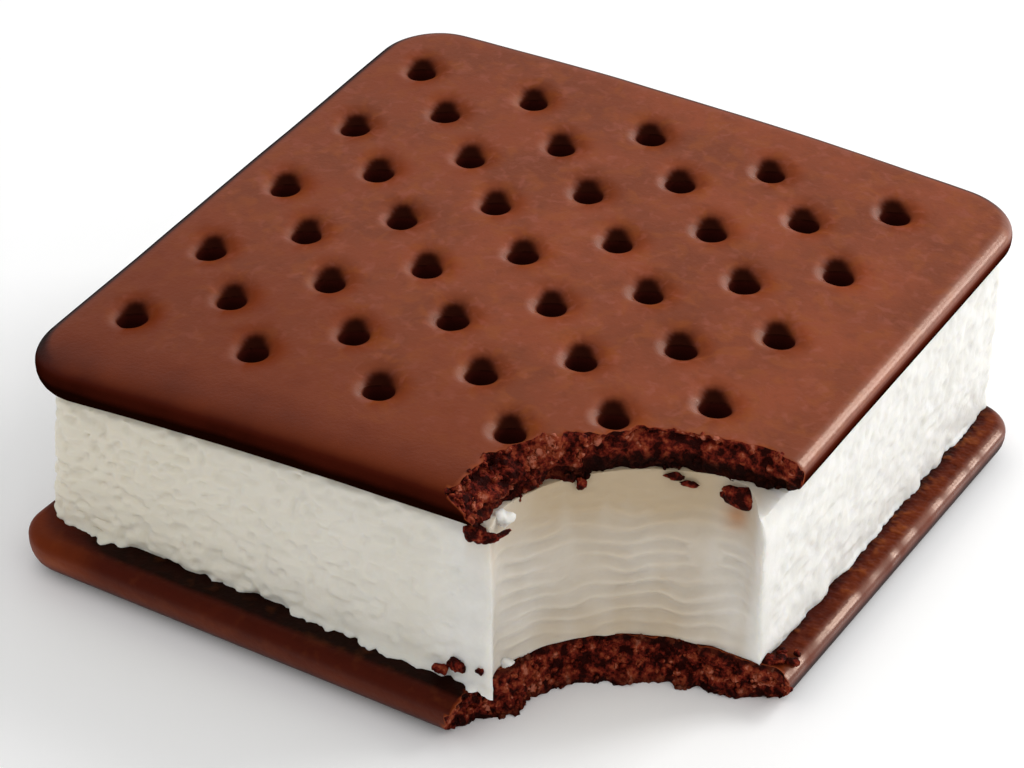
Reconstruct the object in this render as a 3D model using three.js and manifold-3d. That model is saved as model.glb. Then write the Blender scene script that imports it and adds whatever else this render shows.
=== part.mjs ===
// An ice cream sandwich with one corner bitten off: a slab of vanilla ice cream between two
// square chocolate wafers that are pricked with rows of docking holes.
// Millimetres, +Z up. The lower wafer lies flat on z = 0 and the origin is under the middle of
// the sandwich. The bitten corner points to +X, -Y.

import * as THREE from "three";
import { mergeVertices } from "three/addons/utils/BufferGeometryUtils.js";
import Module from "manifold-3d";

// ---- Driving dimensions ----

const GAP = 0.3; // clearance between the ice cream and each wafer

// Wafer: a flat square biscuit with a rim that rolls over like a pillow's, above and below its
// waist, where it is widest.
const WAFER_SIDE = 76.4;
const WAFER_THICKNESS = 4.7;
const WAFER_RIM_SQUARENESS = 2.3; // 2 is an ellipse, more is boxier
const WAFER_RIM_STEPS = 3; // facets from the waist to the face
const WAFER_SIDE_STEPS = 6; // facets along one side
const WAFER_CORNER_STEPS = 4;
const WAFER_INNER_CORNER_RADIUS = 1; // the least that the rings inside the rim keep
const WAFER_FACE_INSETS = [12, 24]; // rings of facets between the rim and the middle

// Docking holes: rows across the wafer with long and short rows taking turns, in a staggered
// grid. Each hole is a soft dimple that narrows to a pricked pit.
const HOLE_ROWS = 9;
const HOLE_LONG_ROW = 5; // holes in the first, third, fifth ... row
const HOLE_ROW_SPACING = 7.22;
const HOLE_SPACING = 13.75; // between holes of one row
const HOLE_DIMPLE_RADIUS = 2.7;
const HOLE_NECK_RADIUS = 1.5;
const HOLE_NECK_DEPTH = 1;
const HOLE_FLOOR_RADIUS = 1.15;
const HOLE_DEPTH = 3.7;
const HOLE_SIDES = 8;
const HOLE_OVERSHOOT = 1; // the pricking tool stands this far out of the face

// Lower wafer: the same biscuit upside down. It has been pushed out of line with the upper one.
// The waist is measured from the plain face, and a roll's width from the side inwards.
const LOWER_WAFER_RIM = { cornerRadius: 4.6, waist: 1.2, plainRoll: 1.3, prickedRoll: 3.4 };
const LOWER_HOLE_CENTRE = new THREE.Vector2(-2.5, -2.25); // the pricking is a little off centre
const LOWER_WAFER_SCALE = new THREE.Vector2(1.004, 0.985);
const LOWER_WAFER_SHIFT = new THREE.Vector2(2.4, -4.95);
const LOWER_WAFER_TURN = THREE.MathUtils.degToRad(-1.35);

// Upper wafer: the slab is squeezed thinner at the bitten side, so the wafer rises towards the
// back. It has softened too, so two opposite corners droop: drop = bend * x * (x + y).
const UPPER_WAFER_RIM = { cornerRadius: 7, waist: 3, plainRoll: 3.8, prickedRoll: 2.4 };
const UPPER_HOLE_CENTRE = new THREE.Vector2(-2.1, 0.55);
const UPPER_WAFER_SHIFT = new THREE.Vector2(0.2, -0.4);
const UPPER_WAFER_RISE = 0.03; // mm per mm along Y
const UPPER_WAFER_BEND = 0.00078; // per mm

// Towards the +X side both wafers have been pressed thinner, and the slab between is thicker.
const PINCH = 0.5; // how much thinner a wafer gets
const PINCH_START = 1;
const PINCH_END = 37;

// Ice cream: a slab that leans from the lower wafer's place to the upper one's.
const ICE_CREAM_THICKNESS = 17.1; // in the middle
const ICE_CREAM_CORNER_RADIUS = 3.2;
const ICE_CREAM_FOOT = {
  side: 72.6,
  centre: new THREE.Vector2(1.15, -2.2),
  turn: THREE.MathUtils.degToRad(-1.2),
};
const ICE_CREAM_HEAD = { side: 72.0, centre: new THREE.Vector2(1.1, -0.8), turn: 0 };
const ICE_CREAM_LAYERS = 7; // bands of facets from foot to head
const ICE_CREAM_LAYER_CROWDING = 1.3; // 1 is evenly spaced, more crowds them towards the foot
const ICE_CREAM_SIDE_STEPS = 18; // facets along one side
const ICE_CREAM_CORNER_STEPS = 3;
const ICE_CREAM_UNEVENNESS = 0.25; // how far the cut sides swell and hollow
const ICE_CREAM_SWELL_LENGTH = 14;
const ICE_CREAM_SWELL_HEIGHT = 5;
const ICE_CREAM_FOOT_SMEAR = 0.7; // how far the foot has crept out in ragged tongues
const ICE_CREAM_SMEAR_HEIGHT = 3;
const ICE_CREAM_TONGUE_LENGTH = 3;
const ICE_CREAM_TONGUE_LEVEL = 4.5; // where the random relief is read for the tongues
const ICE_CREAM_FACE_INSETS = [10, 22]; // rings of facets on the faces under the wafers

// Bite: one round mouthful off the corner, deeper in the upper wafer. Each plan curve is a circle
// that flares out, or in where it is negative, at its front end and at its end on the +X side.
const biteCurve = (x, y, radius, frontFlare, sideFlare) => ({
  centre: new THREE.Vector2(x, y),
  radius,
  frontFlare,
  sideFlare,
});
const BITE_UPPER_FACE = biteCurve(33, -36, 18.3, 0, 0.6);
const BITE_UPPER_UNDERSIDE = biteCurve(33, -36, 18.7, 0, 1.5);
const BITE_SLAB_HEAD = biteCurve(33, -36.4, 17.4, -0.3, -3.3);
const BITE_SLAB_FOOT = biteCurve(33.5, -39.5, 17.7, -2.6, 0.5);
const BITE_LOWER_FACE = biteCurve(33.5, -39.5, 17.7, 0.6, 0.9);
const BITE_LOWER_UNDERSIDE = biteCurve(33.5, -39.5, 16.4, 3.2, 3);
const BITE_FRONT_FLARE_ANGLES = [166, 184]; // degrees about the centre, where the flare grows
const BITE_SIDE_FLARE_ANGLES = [92, 74];
const BITE_CUTTER_SIDES = 84;
const BITE_OVERSHOOT = 2; // the cutter stands this far out of the faces it cuts

// Crags of the broken wafers, and the furrows that teeth leave in the ice cream.
const CRAG_DEPTH = 0.9;
const CRAG_SIZE = 2.3;
const CRAG_FINE_SHARE = 0.35; // how much of the depth is in crags of half the size
const CRAG_FINE_LEVEL = 9; // where the random relief is read for those
const CRAG_LAYERS = 6;
const FURROW_PITCH = 1.75;
const FURROW_DEPTH = 0.22;
const FURROW_WANDER = 1.1; // how far a furrow wanders up and down, in pitches
const FURROW_WANDER_LENGTH = 7;
const FURROW_WANDER_HEIGHT = 9;
const FURROW_SMOOTH_TOP = 0.7; // furrows fade out above this share of the height
const FURROW_SMOOTH_END = 6; // and within this distance of the slab's sides
const FURROW_STEPS = 5; // facets across one furrow

const MERGE_DISTANCE = 1e-4; // points closer than this are one

// ---- Materials ----

const waferFinish = new THREE.MeshStandardMaterial({ color: 0x84503a, roughness: 0.5, metalness: 0 });
const iceCreamFinish = new THREE.MeshStandardMaterial({ color: 0xf3efe2, roughness: 0.45, metalness: 0 });

// ---- Geometry helpers ----

const wasm = await Module();
wasm.setup();

// A closed geometry as a solid that can be cut and joined.
function solidOf(geometry) {
  const bare = geometry.clone();
  bare.deleteAttribute("normal");
  bare.deleteAttribute("uv");
  const merged = mergeVertices(bare, MERGE_DISTANCE);
  const triangles = [];
  const index = merged.index.array;
  for (let i = 0; i < index.length; i += 3) {
    const [a, b, c] = index.slice(i, i + 3);
    if (a !== b && b !== c && c !== a) triangles.push(a, b, c);
  }
  return new wasm.Manifold(
    new wasm.Mesh({
      numProp: 3,
      vertProperties: new Float32Array(merged.attributes.position.array),
      triVerts: new Uint32Array(triangles),
    }),
  );
}

function geometryOf(solid) {
  const { vertProperties, triVerts } = solid.getMesh();
  const geometry = new THREE.BufferGeometry();
  geometry.setAttribute("position", new THREE.BufferAttribute(vertProperties, 3));
  geometry.setIndex(new THREE.BufferAttribute(triVerts, 1));
  return geometry;
}

// A closed geometry skinned over a stack of rings. The rings run anticlockwise from the lowest
// to the highest, have the same number of points, and the first and last are filled in.
function skin(rings) {
  const count = rings[0].length;
  const points = rings.flat();
  const index = [];
  for (let lower = 0; lower + count < points.length; lower += count)
    for (let i = 0; i < count; i++) {
      const [a, b] = [lower + i, lower + ((i + 1) % count)];
      index.push(a, b, b + count, a, b + count, a + count);
    }
  for (const [ring, start, facesUp] of [
    [rings[0], 0, false],
    [rings[rings.length - 1], points.length - count, true],
  ]) {
    const middle = ring.reduce((sum, p) => sum.add(p), new THREE.Vector3()).divideScalar(count);
    const centre = points.push(middle) - 1;
    for (let i = 0; i < count; i++) {
      const [a, b] = [start + i, start + ((i + 1) % count)];
      index.push(centre, facesUp ? a : b, facesUp ? b : a);
    }
  }
  return new THREE.BufferGeometry().setFromPoints(points).setIndex(index);
}

// A square with round corners at height z, as a ring of points about the origin.
function roundedSquare(side, radius, z, sideSteps, cornerSteps) {
  const reach = side / 2 - radius;
  const ring = [];
  for (let corner = 0; corner < 4; corner++) {
    const start = (corner * Math.PI) / 2;
    const [cos, sin] = [Math.round(Math.cos(start)), Math.round(Math.sin(start))];
    const middle = new THREE.Vector2(reach * (cos - sin), reach * (cos + sin));
    for (let i = 0; i <= cornerSteps; i++) {
      const angle = start + ((i / cornerSteps) * Math.PI) / 2;
      const x = middle.x + radius * Math.cos(angle);
      const y = middle.y + radius * Math.sin(angle);
      ring.push(new THREE.Vector3(x, y, z));
    }
    for (let i = 1; i < sideSteps; i++) {
      const run = (2 * reach * i) / sideSteps;
      const x = middle.x - radius * sin - run * cos;
      const y = middle.y + radius * cos - run * sin;
      ring.push(new THREE.Vector3(x, y, z));
    }
  }
  return ring;
}

const cubic = (t) => t * t * (3 - 2 * t);

// A fixed random number from -1 to 1 for each point of a whole-number grid.
function gridValue(i, j, k) {
  let h = Math.imul(i, 374761393) ^ Math.imul(j, 668265263) ^ Math.imul(k, 1440662683);
  h = Math.imul(h ^ (h >>> 13), 1274126177);
  return ((h ^ (h >>> 16)) >>> 0) / 2 ** 31 - 1;
}

// Smooth random relief from -1 to 1 with bumps one unit across.
function relief(x, y, z) {
  const [i, j, k] = [x, y, z].map(Math.floor);
  const [u, v, w] = [cubic(x - i), cubic(y - j), cubic(z - k)];
  const mix = THREE.MathUtils.lerp;
  const row = (dj, dk) => mix(gridValue(i, j + dj, k + dk), gridValue(i + 1, j + dj, k + dk), u);
  return mix(mix(row(0, 0), row(1, 0), v), mix(row(0, 1), row(1, 1), v), w);
}

// Lifts every point of a geometry by an amount that depends on where it is.
function lift(geometry, amount) {
  const position = geometry.attributes.position;
  for (let i = 0; i < position.count; i++) {
    const [x, y, z] = [position.getX(i), position.getY(i), position.getZ(i)];
    position.setZ(i, z + amount(x, y, z));
  }
  return geometry;
}

// ---- Wafer ----

// The plain biscuit, lying on z = 0.
function waferBlank({ cornerRadius, waist, plainRoll, prickedRoll }) {
  const ring = (inset, z) => {
    const radius = Math.max(cornerRadius - inset, WAFER_INNER_CORNER_RADIUS);
    return roundedSquare(WAFER_SIDE - 2 * inset, radius, z, WAFER_SIDE_STEPS, WAFER_CORNER_STEPS);
  };
  const rings = [];
  for (let step = -WAFER_RIM_STEPS; step <= WAFER_RIM_STEPS; step++) {
    const angle = ((step / WAFER_RIM_STEPS) * Math.PI) / 2;
    const power = 2 / WAFER_RIM_SQUARENESS;
    const rise = Math.abs(Math.sin(angle)) ** power;
    const reach = Math.max(Math.cos(angle), 0) ** power;
    const inset = (step < 0 ? plainRoll : prickedRoll) * (1 - reach);
    rings.push(ring(inset, waist + rise * (step < 0 ? -waist : WAFER_THICKNESS - waist)));
  }
  for (const inset of WAFER_FACE_INSETS) {
    rings.unshift(ring(inset, 0));
    rings.push(ring(inset, WAFER_THICKNESS));
  }
  return skin(rings);
}

// The places of the docking holes on the wafer's face, in a grid about a centre.
function holePlaces(centre) {
  const places = [];
  for (let row = 0; row < HOLE_ROWS; row++) {
    const count = HOLE_LONG_ROW - (row % 2);
    for (let i = 0; i < count; i++) {
      const x = (row - (HOLE_ROWS - 1) / 2) * HOLE_ROW_SPACING;
      const y = (i - (count - 1) / 2) * HOLE_SPACING;
      places.push(new THREE.Vector2(x, y).add(centre));
    }
  }
  return places;
}

// The tool that pricks one hole, pointing down with the wafer's face at z = 0.
function holePunch() {
  const profile = [
    new THREE.Vector2(0, -HOLE_DEPTH),
    new THREE.Vector2(HOLE_FLOOR_RADIUS, -HOLE_DEPTH),
    new THREE.Vector2(HOLE_NECK_RADIUS, -HOLE_NECK_DEPTH),
    new THREE.Vector2(HOLE_DIMPLE_RADIUS, 0),
    new THREE.Vector2(HOLE_DIMPLE_RADIUS, HOLE_OVERSHOOT),
    new THREE.Vector2(0, HOLE_OVERSHOOT),
  ];
  return new THREE.LatheGeometry(profile, HOLE_SIDES).rotateX(Math.PI / 2);
}

// The biscuit with its holes pricked into the upper face.
function prickedWafer(rim, holeCentre) {
  const punch = holePunch();
  let wafer = solidOf(waferBlank(rim));
  for (const place of holePlaces(holeCentre))
    wafer = wafer.subtract(solidOf(punch.clone().translate(place.x, place.y, WAFER_THICKNESS)));
  return geometryOf(wafer);
}

// ---- Bite ----

// How far along its flare a bite curve is at an angle in degrees, as shares of both flares.
function flareShares(angle) {
  const [front0, front1] = BITE_FRONT_FLARE_ANGLES;
  const [side0, side1] = BITE_SIDE_FLARE_ANGLES;
  const front = THREE.MathUtils.smoothstep(angle, front0, front1);
  const side = 1 - THREE.MathUtils.smoothstep(angle, side1, side0);
  return [front, side];
}

// A round cutter from height z0 to z1 that goes from one bite curve to another. The surface
// moves in and out by wall(x, y, z, share), and the upper and lower ends overshoot.
function biteCutter(lower, upper, z0, z1, bands, wall) {
  const mix = THREE.MathUtils.lerp;
  const rings = [];
  for (let band = -1; band <= bands + 1; band++) {
    const share = THREE.MathUtils.clamp(band / bands, 0, 1);
    const overshoot = band < 0 ? -BITE_OVERSHOOT : band > bands ? BITE_OVERSHOOT : 0;
    const z = mix(z0, z1, share);
    const centre = lower.centre.clone().lerp(upper.centre, share);
    const ring = [];
    for (let i = 0; i < BITE_CUTTER_SIDES; i++) {
      const turn = i / BITE_CUTTER_SIDES;
      const [front, side] = flareShares(360 * turn);
      const radius =
        mix(lower.radius, upper.radius, share) +
        front * mix(lower.frontFlare, upper.frontFlare, share) +
        side * mix(lower.sideFlare, upper.sideFlare, share);
      const [cos, sin] = [Math.cos(2 * Math.PI * turn), Math.sin(2 * Math.PI * turn)];
      const reach = radius + wall(centre.x + radius * cos, centre.y + radius * sin, z, share);
      ring.push(new THREE.Vector3(centre.x + reach * cos, centre.y + reach * sin, z + overshoot));
    }
    rings.push(ring);
  }
  return skin(rings);
}

// Crags of a wafer that has been snapped through.
function crags(x, y, z) {
  const [u, v, w] = [x, y, z].map((along) => along / CRAG_SIZE);
  const coarse = relief(u, v, w);
  const fine = relief(2 * u, 2 * v, 2 * w + CRAG_FINE_LEVEL);
  return CRAG_DEPTH * THREE.MathUtils.lerp(coarse, fine, CRAG_FINE_SHARE);
}

// Wavering level furrows in the bitten ice cream.
function furrows(x, y, z, share) {
  const [u, v] = [x, y].map((along) => along / FURROW_WANDER_LENGTH);
  const wander = FURROW_WANDER * relief(u, v, z / FURROW_WANDER_HEIGHT);
  const wave = Math.cos(2 * Math.PI * (z / FURROW_PITCH + wander));
  const { side, centre } = ICE_CREAM_FOOT;
  const fromSide = Math.min(centre.x + side / 2 - x, y - centre.y + side / 2);
  const fade =
    (1 - THREE.MathUtils.smoothstep(share, FURROW_SMOOTH_TOP, 1)) *
    THREE.MathUtils.smoothstep(fromSide, 0, FURROW_SMOOTH_END);
  return FURROW_DEPTH * wave * fade;
}

// ---- Ice cream ----

// The uncut slab, standing between z0 and z1.
function iceCreamSlab(z0, z1) {
  const ring = (share, inset) => {
    const turn = THREE.MathUtils.lerp(ICE_CREAM_FOOT.turn, ICE_CREAM_HEAD.turn, share);
    const centre = ICE_CREAM_FOOT.centre.clone().lerp(ICE_CREAM_HEAD.centre, share);
    const side = THREE.MathUtils.lerp(ICE_CREAM_FOOT.side, ICE_CREAM_HEAD.side, share) - 2 * inset;
    const z = THREE.MathUtils.lerp(z0, z1, share);
    const smear = Math.max(1 - (z - z0) / ICE_CREAM_SMEAR_HEIGHT, 0);
    const steps = [ICE_CREAM_SIDE_STEPS, ICE_CREAM_CORNER_STEPS];
    return roundedSquare(side, ICE_CREAM_CORNER_RADIUS, z, ...steps).map((p) => {
      const [u, v] = [p.x, p.y].map((along) => along / ICE_CREAM_SWELL_LENGTH);
      const swell = relief(u, v, z / ICE_CREAM_SWELL_HEIGHT);
      const [s, t] = [p.x, p.y].map((along) => along / ICE_CREAM_TONGUE_LENGTH);
      const tongue = smear * Math.max(relief(s, t, ICE_CREAM_TONGUE_LEVEL), 0);
      const out = inset ? 0 : ICE_CREAM_UNEVENNESS * swell + ICE_CREAM_FOOT_SMEAR * tongue;
      const grown = 1 + (2 * out) / side;
      return new THREE.Vector3(p.x * grown, p.y * grown, z)
        .applyAxisAngle(new THREE.Vector3(0, 0, 1), turn)
        .add(new THREE.Vector3(centre.x, centre.y, 0));
    });
  };
  const rings = [];
  for (let layer = 0; layer <= ICE_CREAM_LAYERS; layer++)
    rings.push(ring((layer / ICE_CREAM_LAYERS) ** ICE_CREAM_LAYER_CROWDING, 0));
  for (const inset of ICE_CREAM_FACE_INSETS) {
    rings.unshift(ring(0, inset));
    rings.push(ring(1, inset));
  }
  return skin(rings);
}

// ---- Assembly ----

const ICE_CREAM_Z = WAFER_THICKNESS;
const UPPER_WAFER_Z = ICE_CREAM_Z + ICE_CREAM_THICKNESS;

// How far the upper wafer is lifted at a place in plan. The ice cream under it follows.
const sag = (x, y) => UPPER_WAFER_RISE * y - UPPER_WAFER_BEND * x * (x + y);

// How much thinner the wafers are at a place.
const pinch = (x) => PINCH * (Math.max(x - PINCH_START, 0) / (PINCH_END - PINCH_START)) ** 2;

function lowerWafer() {
  const flipped = prickedWafer(LOWER_WAFER_RIM, LOWER_HOLE_CENTRE)
    .rotateX(Math.PI)
    .translate(0, 0, WAFER_THICKNESS)
    .scale(LOWER_WAFER_SCALE.x, LOWER_WAFER_SCALE.y, 1)
    .rotateZ(LOWER_WAFER_TURN)
    .translate(LOWER_WAFER_SHIFT.x, LOWER_WAFER_SHIFT.y, 0);
  const [underside, face] = [BITE_LOWER_UNDERSIDE, BITE_LOWER_FACE];
  const bite = biteCutter(underside, face, 0, WAFER_THICKNESS, CRAG_LAYERS, crags);
  const bitten = solidOf(flipped).subtract(solidOf(bite));
  return lift(geometryOf(bitten), (x, y, z) => (-pinch(x) * z) / WAFER_THICKNESS);
}

function iceCream() {
  const [z0, z1] = [ICE_CREAM_Z + GAP, UPPER_WAFER_Z - GAP];
  const bands = Math.round(((z1 - z0) / FURROW_PITCH) * FURROW_STEPS);
  const bite = biteCutter(BITE_SLAB_FOOT, BITE_SLAB_HEAD, z0, z1, bands, furrows);
  const bitten = solidOf(iceCreamSlab(z0, z1)).subtract(solidOf(bite));
  return lift(geometryOf(bitten), (x, y, z) => {
    const share = (z - z0) / (z1 - z0);
    return sag(x, y) * share + pinch(x) * (2 * share - 1);
  });
}

function upperWafer() {
  const [z0, z1] = [UPPER_WAFER_Z, UPPER_WAFER_Z + WAFER_THICKNESS];
  const { x: shiftX, y: shiftY } = UPPER_WAFER_SHIFT;
  const placed = prickedWafer(UPPER_WAFER_RIM, UPPER_HOLE_CENTRE).translate(shiftX, shiftY, z0);
  const bite = biteCutter(BITE_UPPER_UNDERSIDE, BITE_UPPER_FACE, z0, z1, CRAG_LAYERS, crags);
  const bitten = solidOf(placed).subtract(solidOf(bite));
  return lift(geometryOf(bitten), (x, y, z) => sag(x, y) + (pinch(x) * (z1 - z)) / WAFER_THICKNESS);
}

function piece(name, geometry, material) {
  const mesh = new THREE.Mesh(geometry, material);
  mesh.name = name;
  return mesh;
}

const layers = new THREE.Group();
layers.add(
  piece("wafer_bottom", lowerWafer(), waferFinish),
  piece("ice_cream", iceCream(), iceCreamFinish),
  piece("wafer_top", upperWafer(), waferFinish),
);

// The origin goes under the middle of the box that holds the sandwich.
const box = new THREE.Box3().setFromObject(layers);
const middle = box.getCenter(new THREE.Vector3());
layers.position.set(-middle.x, -middle.y, -box.min.z);

const sandwich = new THREE.Group();
sandwich.name = "ice_cream_sandwich";
sandwich.add(layers);

export default sandwich;
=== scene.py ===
import math

import bmesh
import bpy
import numpy as np
from mathutils import Matrix, Vector, geometry


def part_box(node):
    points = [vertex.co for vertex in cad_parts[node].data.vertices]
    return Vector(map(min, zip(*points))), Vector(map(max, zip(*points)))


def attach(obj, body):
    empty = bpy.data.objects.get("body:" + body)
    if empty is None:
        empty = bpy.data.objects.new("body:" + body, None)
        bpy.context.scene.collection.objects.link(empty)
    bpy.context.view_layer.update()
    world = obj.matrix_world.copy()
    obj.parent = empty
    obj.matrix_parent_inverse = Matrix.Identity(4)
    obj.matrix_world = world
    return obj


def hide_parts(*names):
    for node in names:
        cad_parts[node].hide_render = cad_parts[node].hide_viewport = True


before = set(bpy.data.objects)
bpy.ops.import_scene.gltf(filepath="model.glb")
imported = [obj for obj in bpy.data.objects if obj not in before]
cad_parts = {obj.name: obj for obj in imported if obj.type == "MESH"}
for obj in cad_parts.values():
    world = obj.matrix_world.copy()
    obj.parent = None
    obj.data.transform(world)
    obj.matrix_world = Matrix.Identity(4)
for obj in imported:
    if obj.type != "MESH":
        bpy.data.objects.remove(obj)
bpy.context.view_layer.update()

# An ice cream sandwich with one corner bitten off: vanilla ice cream between two square
# chocolate wafers. Plan measures are in millimetres about the middle of the sandwich, with the
# lower wafer's underside at height 0. A finished piece's mesh is in metres in the frame.

# ---------------------------------------------------------------------------------------------
# Lower wafer
# A square chocolate biscuit, 76 mm across and 4.7 mm thick, baked flat and pricked with rows of
# docking holes so that it doesn't puff up. It lies with the pricked face down, and the slab of
# ice cream is pressed onto the plain face. It has slipped a few millimetres to the front and right.
# ---------------------------------------------------------------------------------------------

MM = 0.001
WAFER_SIDE = 76.4
WAFER_THICKNESS = 4.7
UPPER_SHIFT = np.array([0.2, -0.4])
UPPER_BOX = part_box("wafer_top")
# Plan millimetres to frame metres: the upper wafer's left and back sides touch its box.
ORIGIN = np.array([
    UPPER_BOX[0].x / MM + WAFER_SIDE / 2 - UPPER_SHIFT[0],
    UPPER_BOX[1].y / MM - WAFER_SIDE / 2 - UPPER_SHIFT[1],
    0,
])

# The rim rolls over like a pillow's from its waist, where it is widest, to each face. The waist
# is measured from the plain face. The pricked face rolls over by its own width on two sides.
LOWER_RIM = {
    "corner radius": 4.6,
    "waist": 1.2,
    "plain roll": 1.3,
    "pricked roll": 3.4,
    "front roll": 3.4,
    "right roll": 3.4,
}
RIM_SQUARENESS = 2.3  # 2 rolls over round, more rolls over squarer
RIM_STEPS = 10  # rings of points from the waist to each face
OUTLINE_STEP = 0.62  # between points along the rim
FACE_STEP = 0.85  # between points on the faces

HOLE_ROW_SPACING = 7.22
HOLE_SPACING = 13.75  # between the holes of one row
HOLE_LONG_ROW = 5  # holes in a long row; the short rows between have one less
HOLE_ROWS = 9
HOLE_DIMPLE_START = 0.6  # radius where the soft dimple is deepest
HOLE_DIMPLE_RADIUS = 2.8
HOLE_DIMPLE_DEPTH = 0.8
# The drag also draws the dimple's painted shade out that way.
HOLE_DIMPLE_DRAG = (-1.3, 2.3, 0.0)  # the pin drags the dimple out this way as it leaves
HOLE_DIMPLE_TAPER = 0.25  # how soon the dimple narrows along its drag, from 0 to 1
HOLE_FLOOR_RADIUS = 1.12
HOLE_NECK_RADIUS = 1.6
HOLE_DEPTH = 3.7
HOLE_UNEVENNESS = 0.2  # how much the holes differ in width
PRICKED_ABOVE = 0.75  # only what lies above this share of the thickness is pressed in
# Radii of the rings of points round a hole, which crowd where its wall drops.
HOLE_RINGS = (
    0.5, 0.85, 1.04, 1.13, 1.22, 1.32, 1.42, 1.52, 1.64, 1.8, 2.0, 2.25, 2.55, 2.9, 3.3, 3.75, 4.25,
)
HOLE_STEPS = 30  # points in a ring, with a third of them in the narrow ones
HOLE_NARROW_RING = 0.6
LOWER_HOLE_CENTRE = np.array([-2.5, -2.25])

LOWER_SCALE = np.array([1.004, 0.985])
LOWER_SHIFT = np.array([2.4, -4.95])
LOWER_TURN = math.radians(-1.35)
PINCH = 0.5  # towards the right the wafers have been pressed thinner
PINCH_START = 1
PINCH_END = 37
SKIN_SHARP = 50  # degrees; a sharper turn shows as an edge
CRUMB_SHARP = 80

# The ice cream's foot, which stands on this wafer.
FOOT_SIDE, FOOT_CENTRE, FOOT_TURN = 72.6, np.array([1.15, -2.2]), math.radians(-1.2)
ICE_CREAM_CORNER_RADIUS = 3.2

# Bite curves in plan: centre x, centre y, radius, and how far the circle flares at its front
# end and at its end on the right.
BITE_LOWER_FACE = (33.5, -39.5, 17.7, 0.6, 0.9)
BITE_LOWER_UNDERSIDE = (33.5, -39.5, 16.4, 3.2, 3.0)
BITE_FRONT_FLARE = (166, 184)  # degrees about the centre, where the flare grows
BITE_SIDE_FLARE = (92, 74)
BITE_ARC = (60, 204)  # the stretch that may touch the sandwich
BITE_REST_STEPS = 24  # points round the rest of the circle
BITE_OVERSHOOT = 2  # how far the cutter stands out of the faces it cuts
CRAG_DEPTH = 0.9
CRAG_SIZE = 2.3
CRAG_FINE_SHARE = 0.35  # how much of the depth is in crags of half the size
CRAG_STEP = 0.14
CRUMB_LUMPS = ((1.5, 0.6), (0.8, 0.36), (0.35, 0.16))  # size and depth, coarse to fine
CRUMB_LEVEL = 0.35  # the lumps' mean height, which is taken off
SCALLOP_SIZE = 3.6  # where whole pieces have come away
SCALLOP_DEPTH = 0.75
CLUSTER_SIZE = 2.1  # grains of crumb stand together in clusters
PATCH_SIZE = 1.7  # and the break is paler in patches, where it tore last

# Baked chocolate from its paler face to its darkest edge, and broken crumb.
WAFER_PALE = "#864127"
WAFER_BROWN = "#743821"
WAFER_ORANGE = "#8a4720"
WAFER_PINK = "#955242"
# These darker tones also serve as painted shade on the rim, on the face and beside the foot.
WAFER_RUST = "#66280f"
WAFER_MAROON = "#42140a"
WAFER_BLACK = "#150401"
WAFER_SPECK = "#5e2a18"
WAFER_SHEEN = "#ffdac0"
# Painted shade in the docking holes:
HOLE_SHADE_BROWN = "#35100a"  # the lower slope of a dimple, and the pit below it
HOLE_SHADE_BLACK = "#200a05"  # round the mouth of the pit
# The crumb's darkest tone is painted shade for its hollows, and its palest a painted highlight on its
# lumps.
CRUMB_HOLLOW_SHADE = "#260502"
CRUMB_RED = "#6a1e13"
CRUMB_TORN = "#863a22"
CRUMB_HIGHLIGHT = "#a85f4a"

# How hard the edge is baked, from 0 to 1, with painted shade added in, and where its shades start and
# end.
LEDGE_BAKED = 0.3
LEDGE_SHADE_FRONT = 0.31  # painted shade added at the front ledge
LEDGE_BAKED_RIGHT = 0.1
SIDE_PALER = 0.18
LOWER_RIM_SHADE = (3.5, 7)  # millimetres in from the edge
LEFT_CORNER_REACH = (5, 13)  # from the front left corner
PAINTED_FOOT_SHADE_RIGHT = (0.3, 1.2)  # distances out from the ice cream's foot over which its painted shade fades
PAINTED_FOOT_SHADE_FRONT = (1.0, 3.0)
PAINTED_FOOT_SHADE_DARKNESS = 0.5
UNDER_FOOT_SHADE = (0.3, 0.9)
UNDERSIDE_SHADE = (0, 1.2)

# The gloss is the skin's specular level, which is high where the right rim is pressed smooth.
DULL_GLOSS = 0.05
SATIN_GLOSS = 0.1
RIM_GLOSS = 0.95
LOWER_SHINE_INSET = (0.6, 1.2)
SHINE_WORN = (1.5, 1, 0.5)  # spots that wide, which have lost it


def smooth(value, start, end):
    """Eases from 0 at start to 1 at end, for arrays too."""
    t = np.clip((value - start) / (end - start), 0, 1)
    return t * t * (3 - 2 * t)


def fade(value, start, end):
    """Eases from 1 at start to 0 at end."""
    return 1 - smooth(value, start, end)


def grid_value(i, j, k):
    """A fixed random number from -1 to 1 for each point of a whole-number grid."""
    i, j, k = (np.asarray(v).astype(np.int64).astype(np.uint32) for v in (i, j, k))
    h = i * np.uint32(374761393) ^ j * np.uint32(668265263) ^ k * np.uint32(1440662683)
    h = (h ^ (h >> np.uint32(13))) * np.uint32(1274126177)
    return (h ^ (h >> np.uint32(16))) / 2.0**31 - 1


def relief(x, y, z):
    """Smooth random relief from -1 to 1 with bumps one unit across. A number that is added to a
    coordinate only picks another stretch of it."""
    x, y, z = np.broadcast_arrays(x, y, z)
    i, j, k = np.floor(x), np.floor(y), np.floor(z)
    u, v, w = (smooth(t, 0, 1) for t in (x - i, y - j, z - k))

    def row(dj, dk):
        start, end = grid_value(i, j + dj, k + dk), grid_value(i + 1, j + dj, k + dk)
        return start + (end - start) * u

    low = row(0, 0) + (row(1, 0) - row(0, 0)) * v
    high = row(0, 1) + (row(1, 1) - row(0, 1)) * v
    return low + (high - low) * w


def bumps(x, y, z, depth, width, height, start=0):
    """Random bumps that deep, wide and high. The start picks a stretch of the relief."""
    return depth * relief(x / width, y / width, z / height + start)


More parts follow.
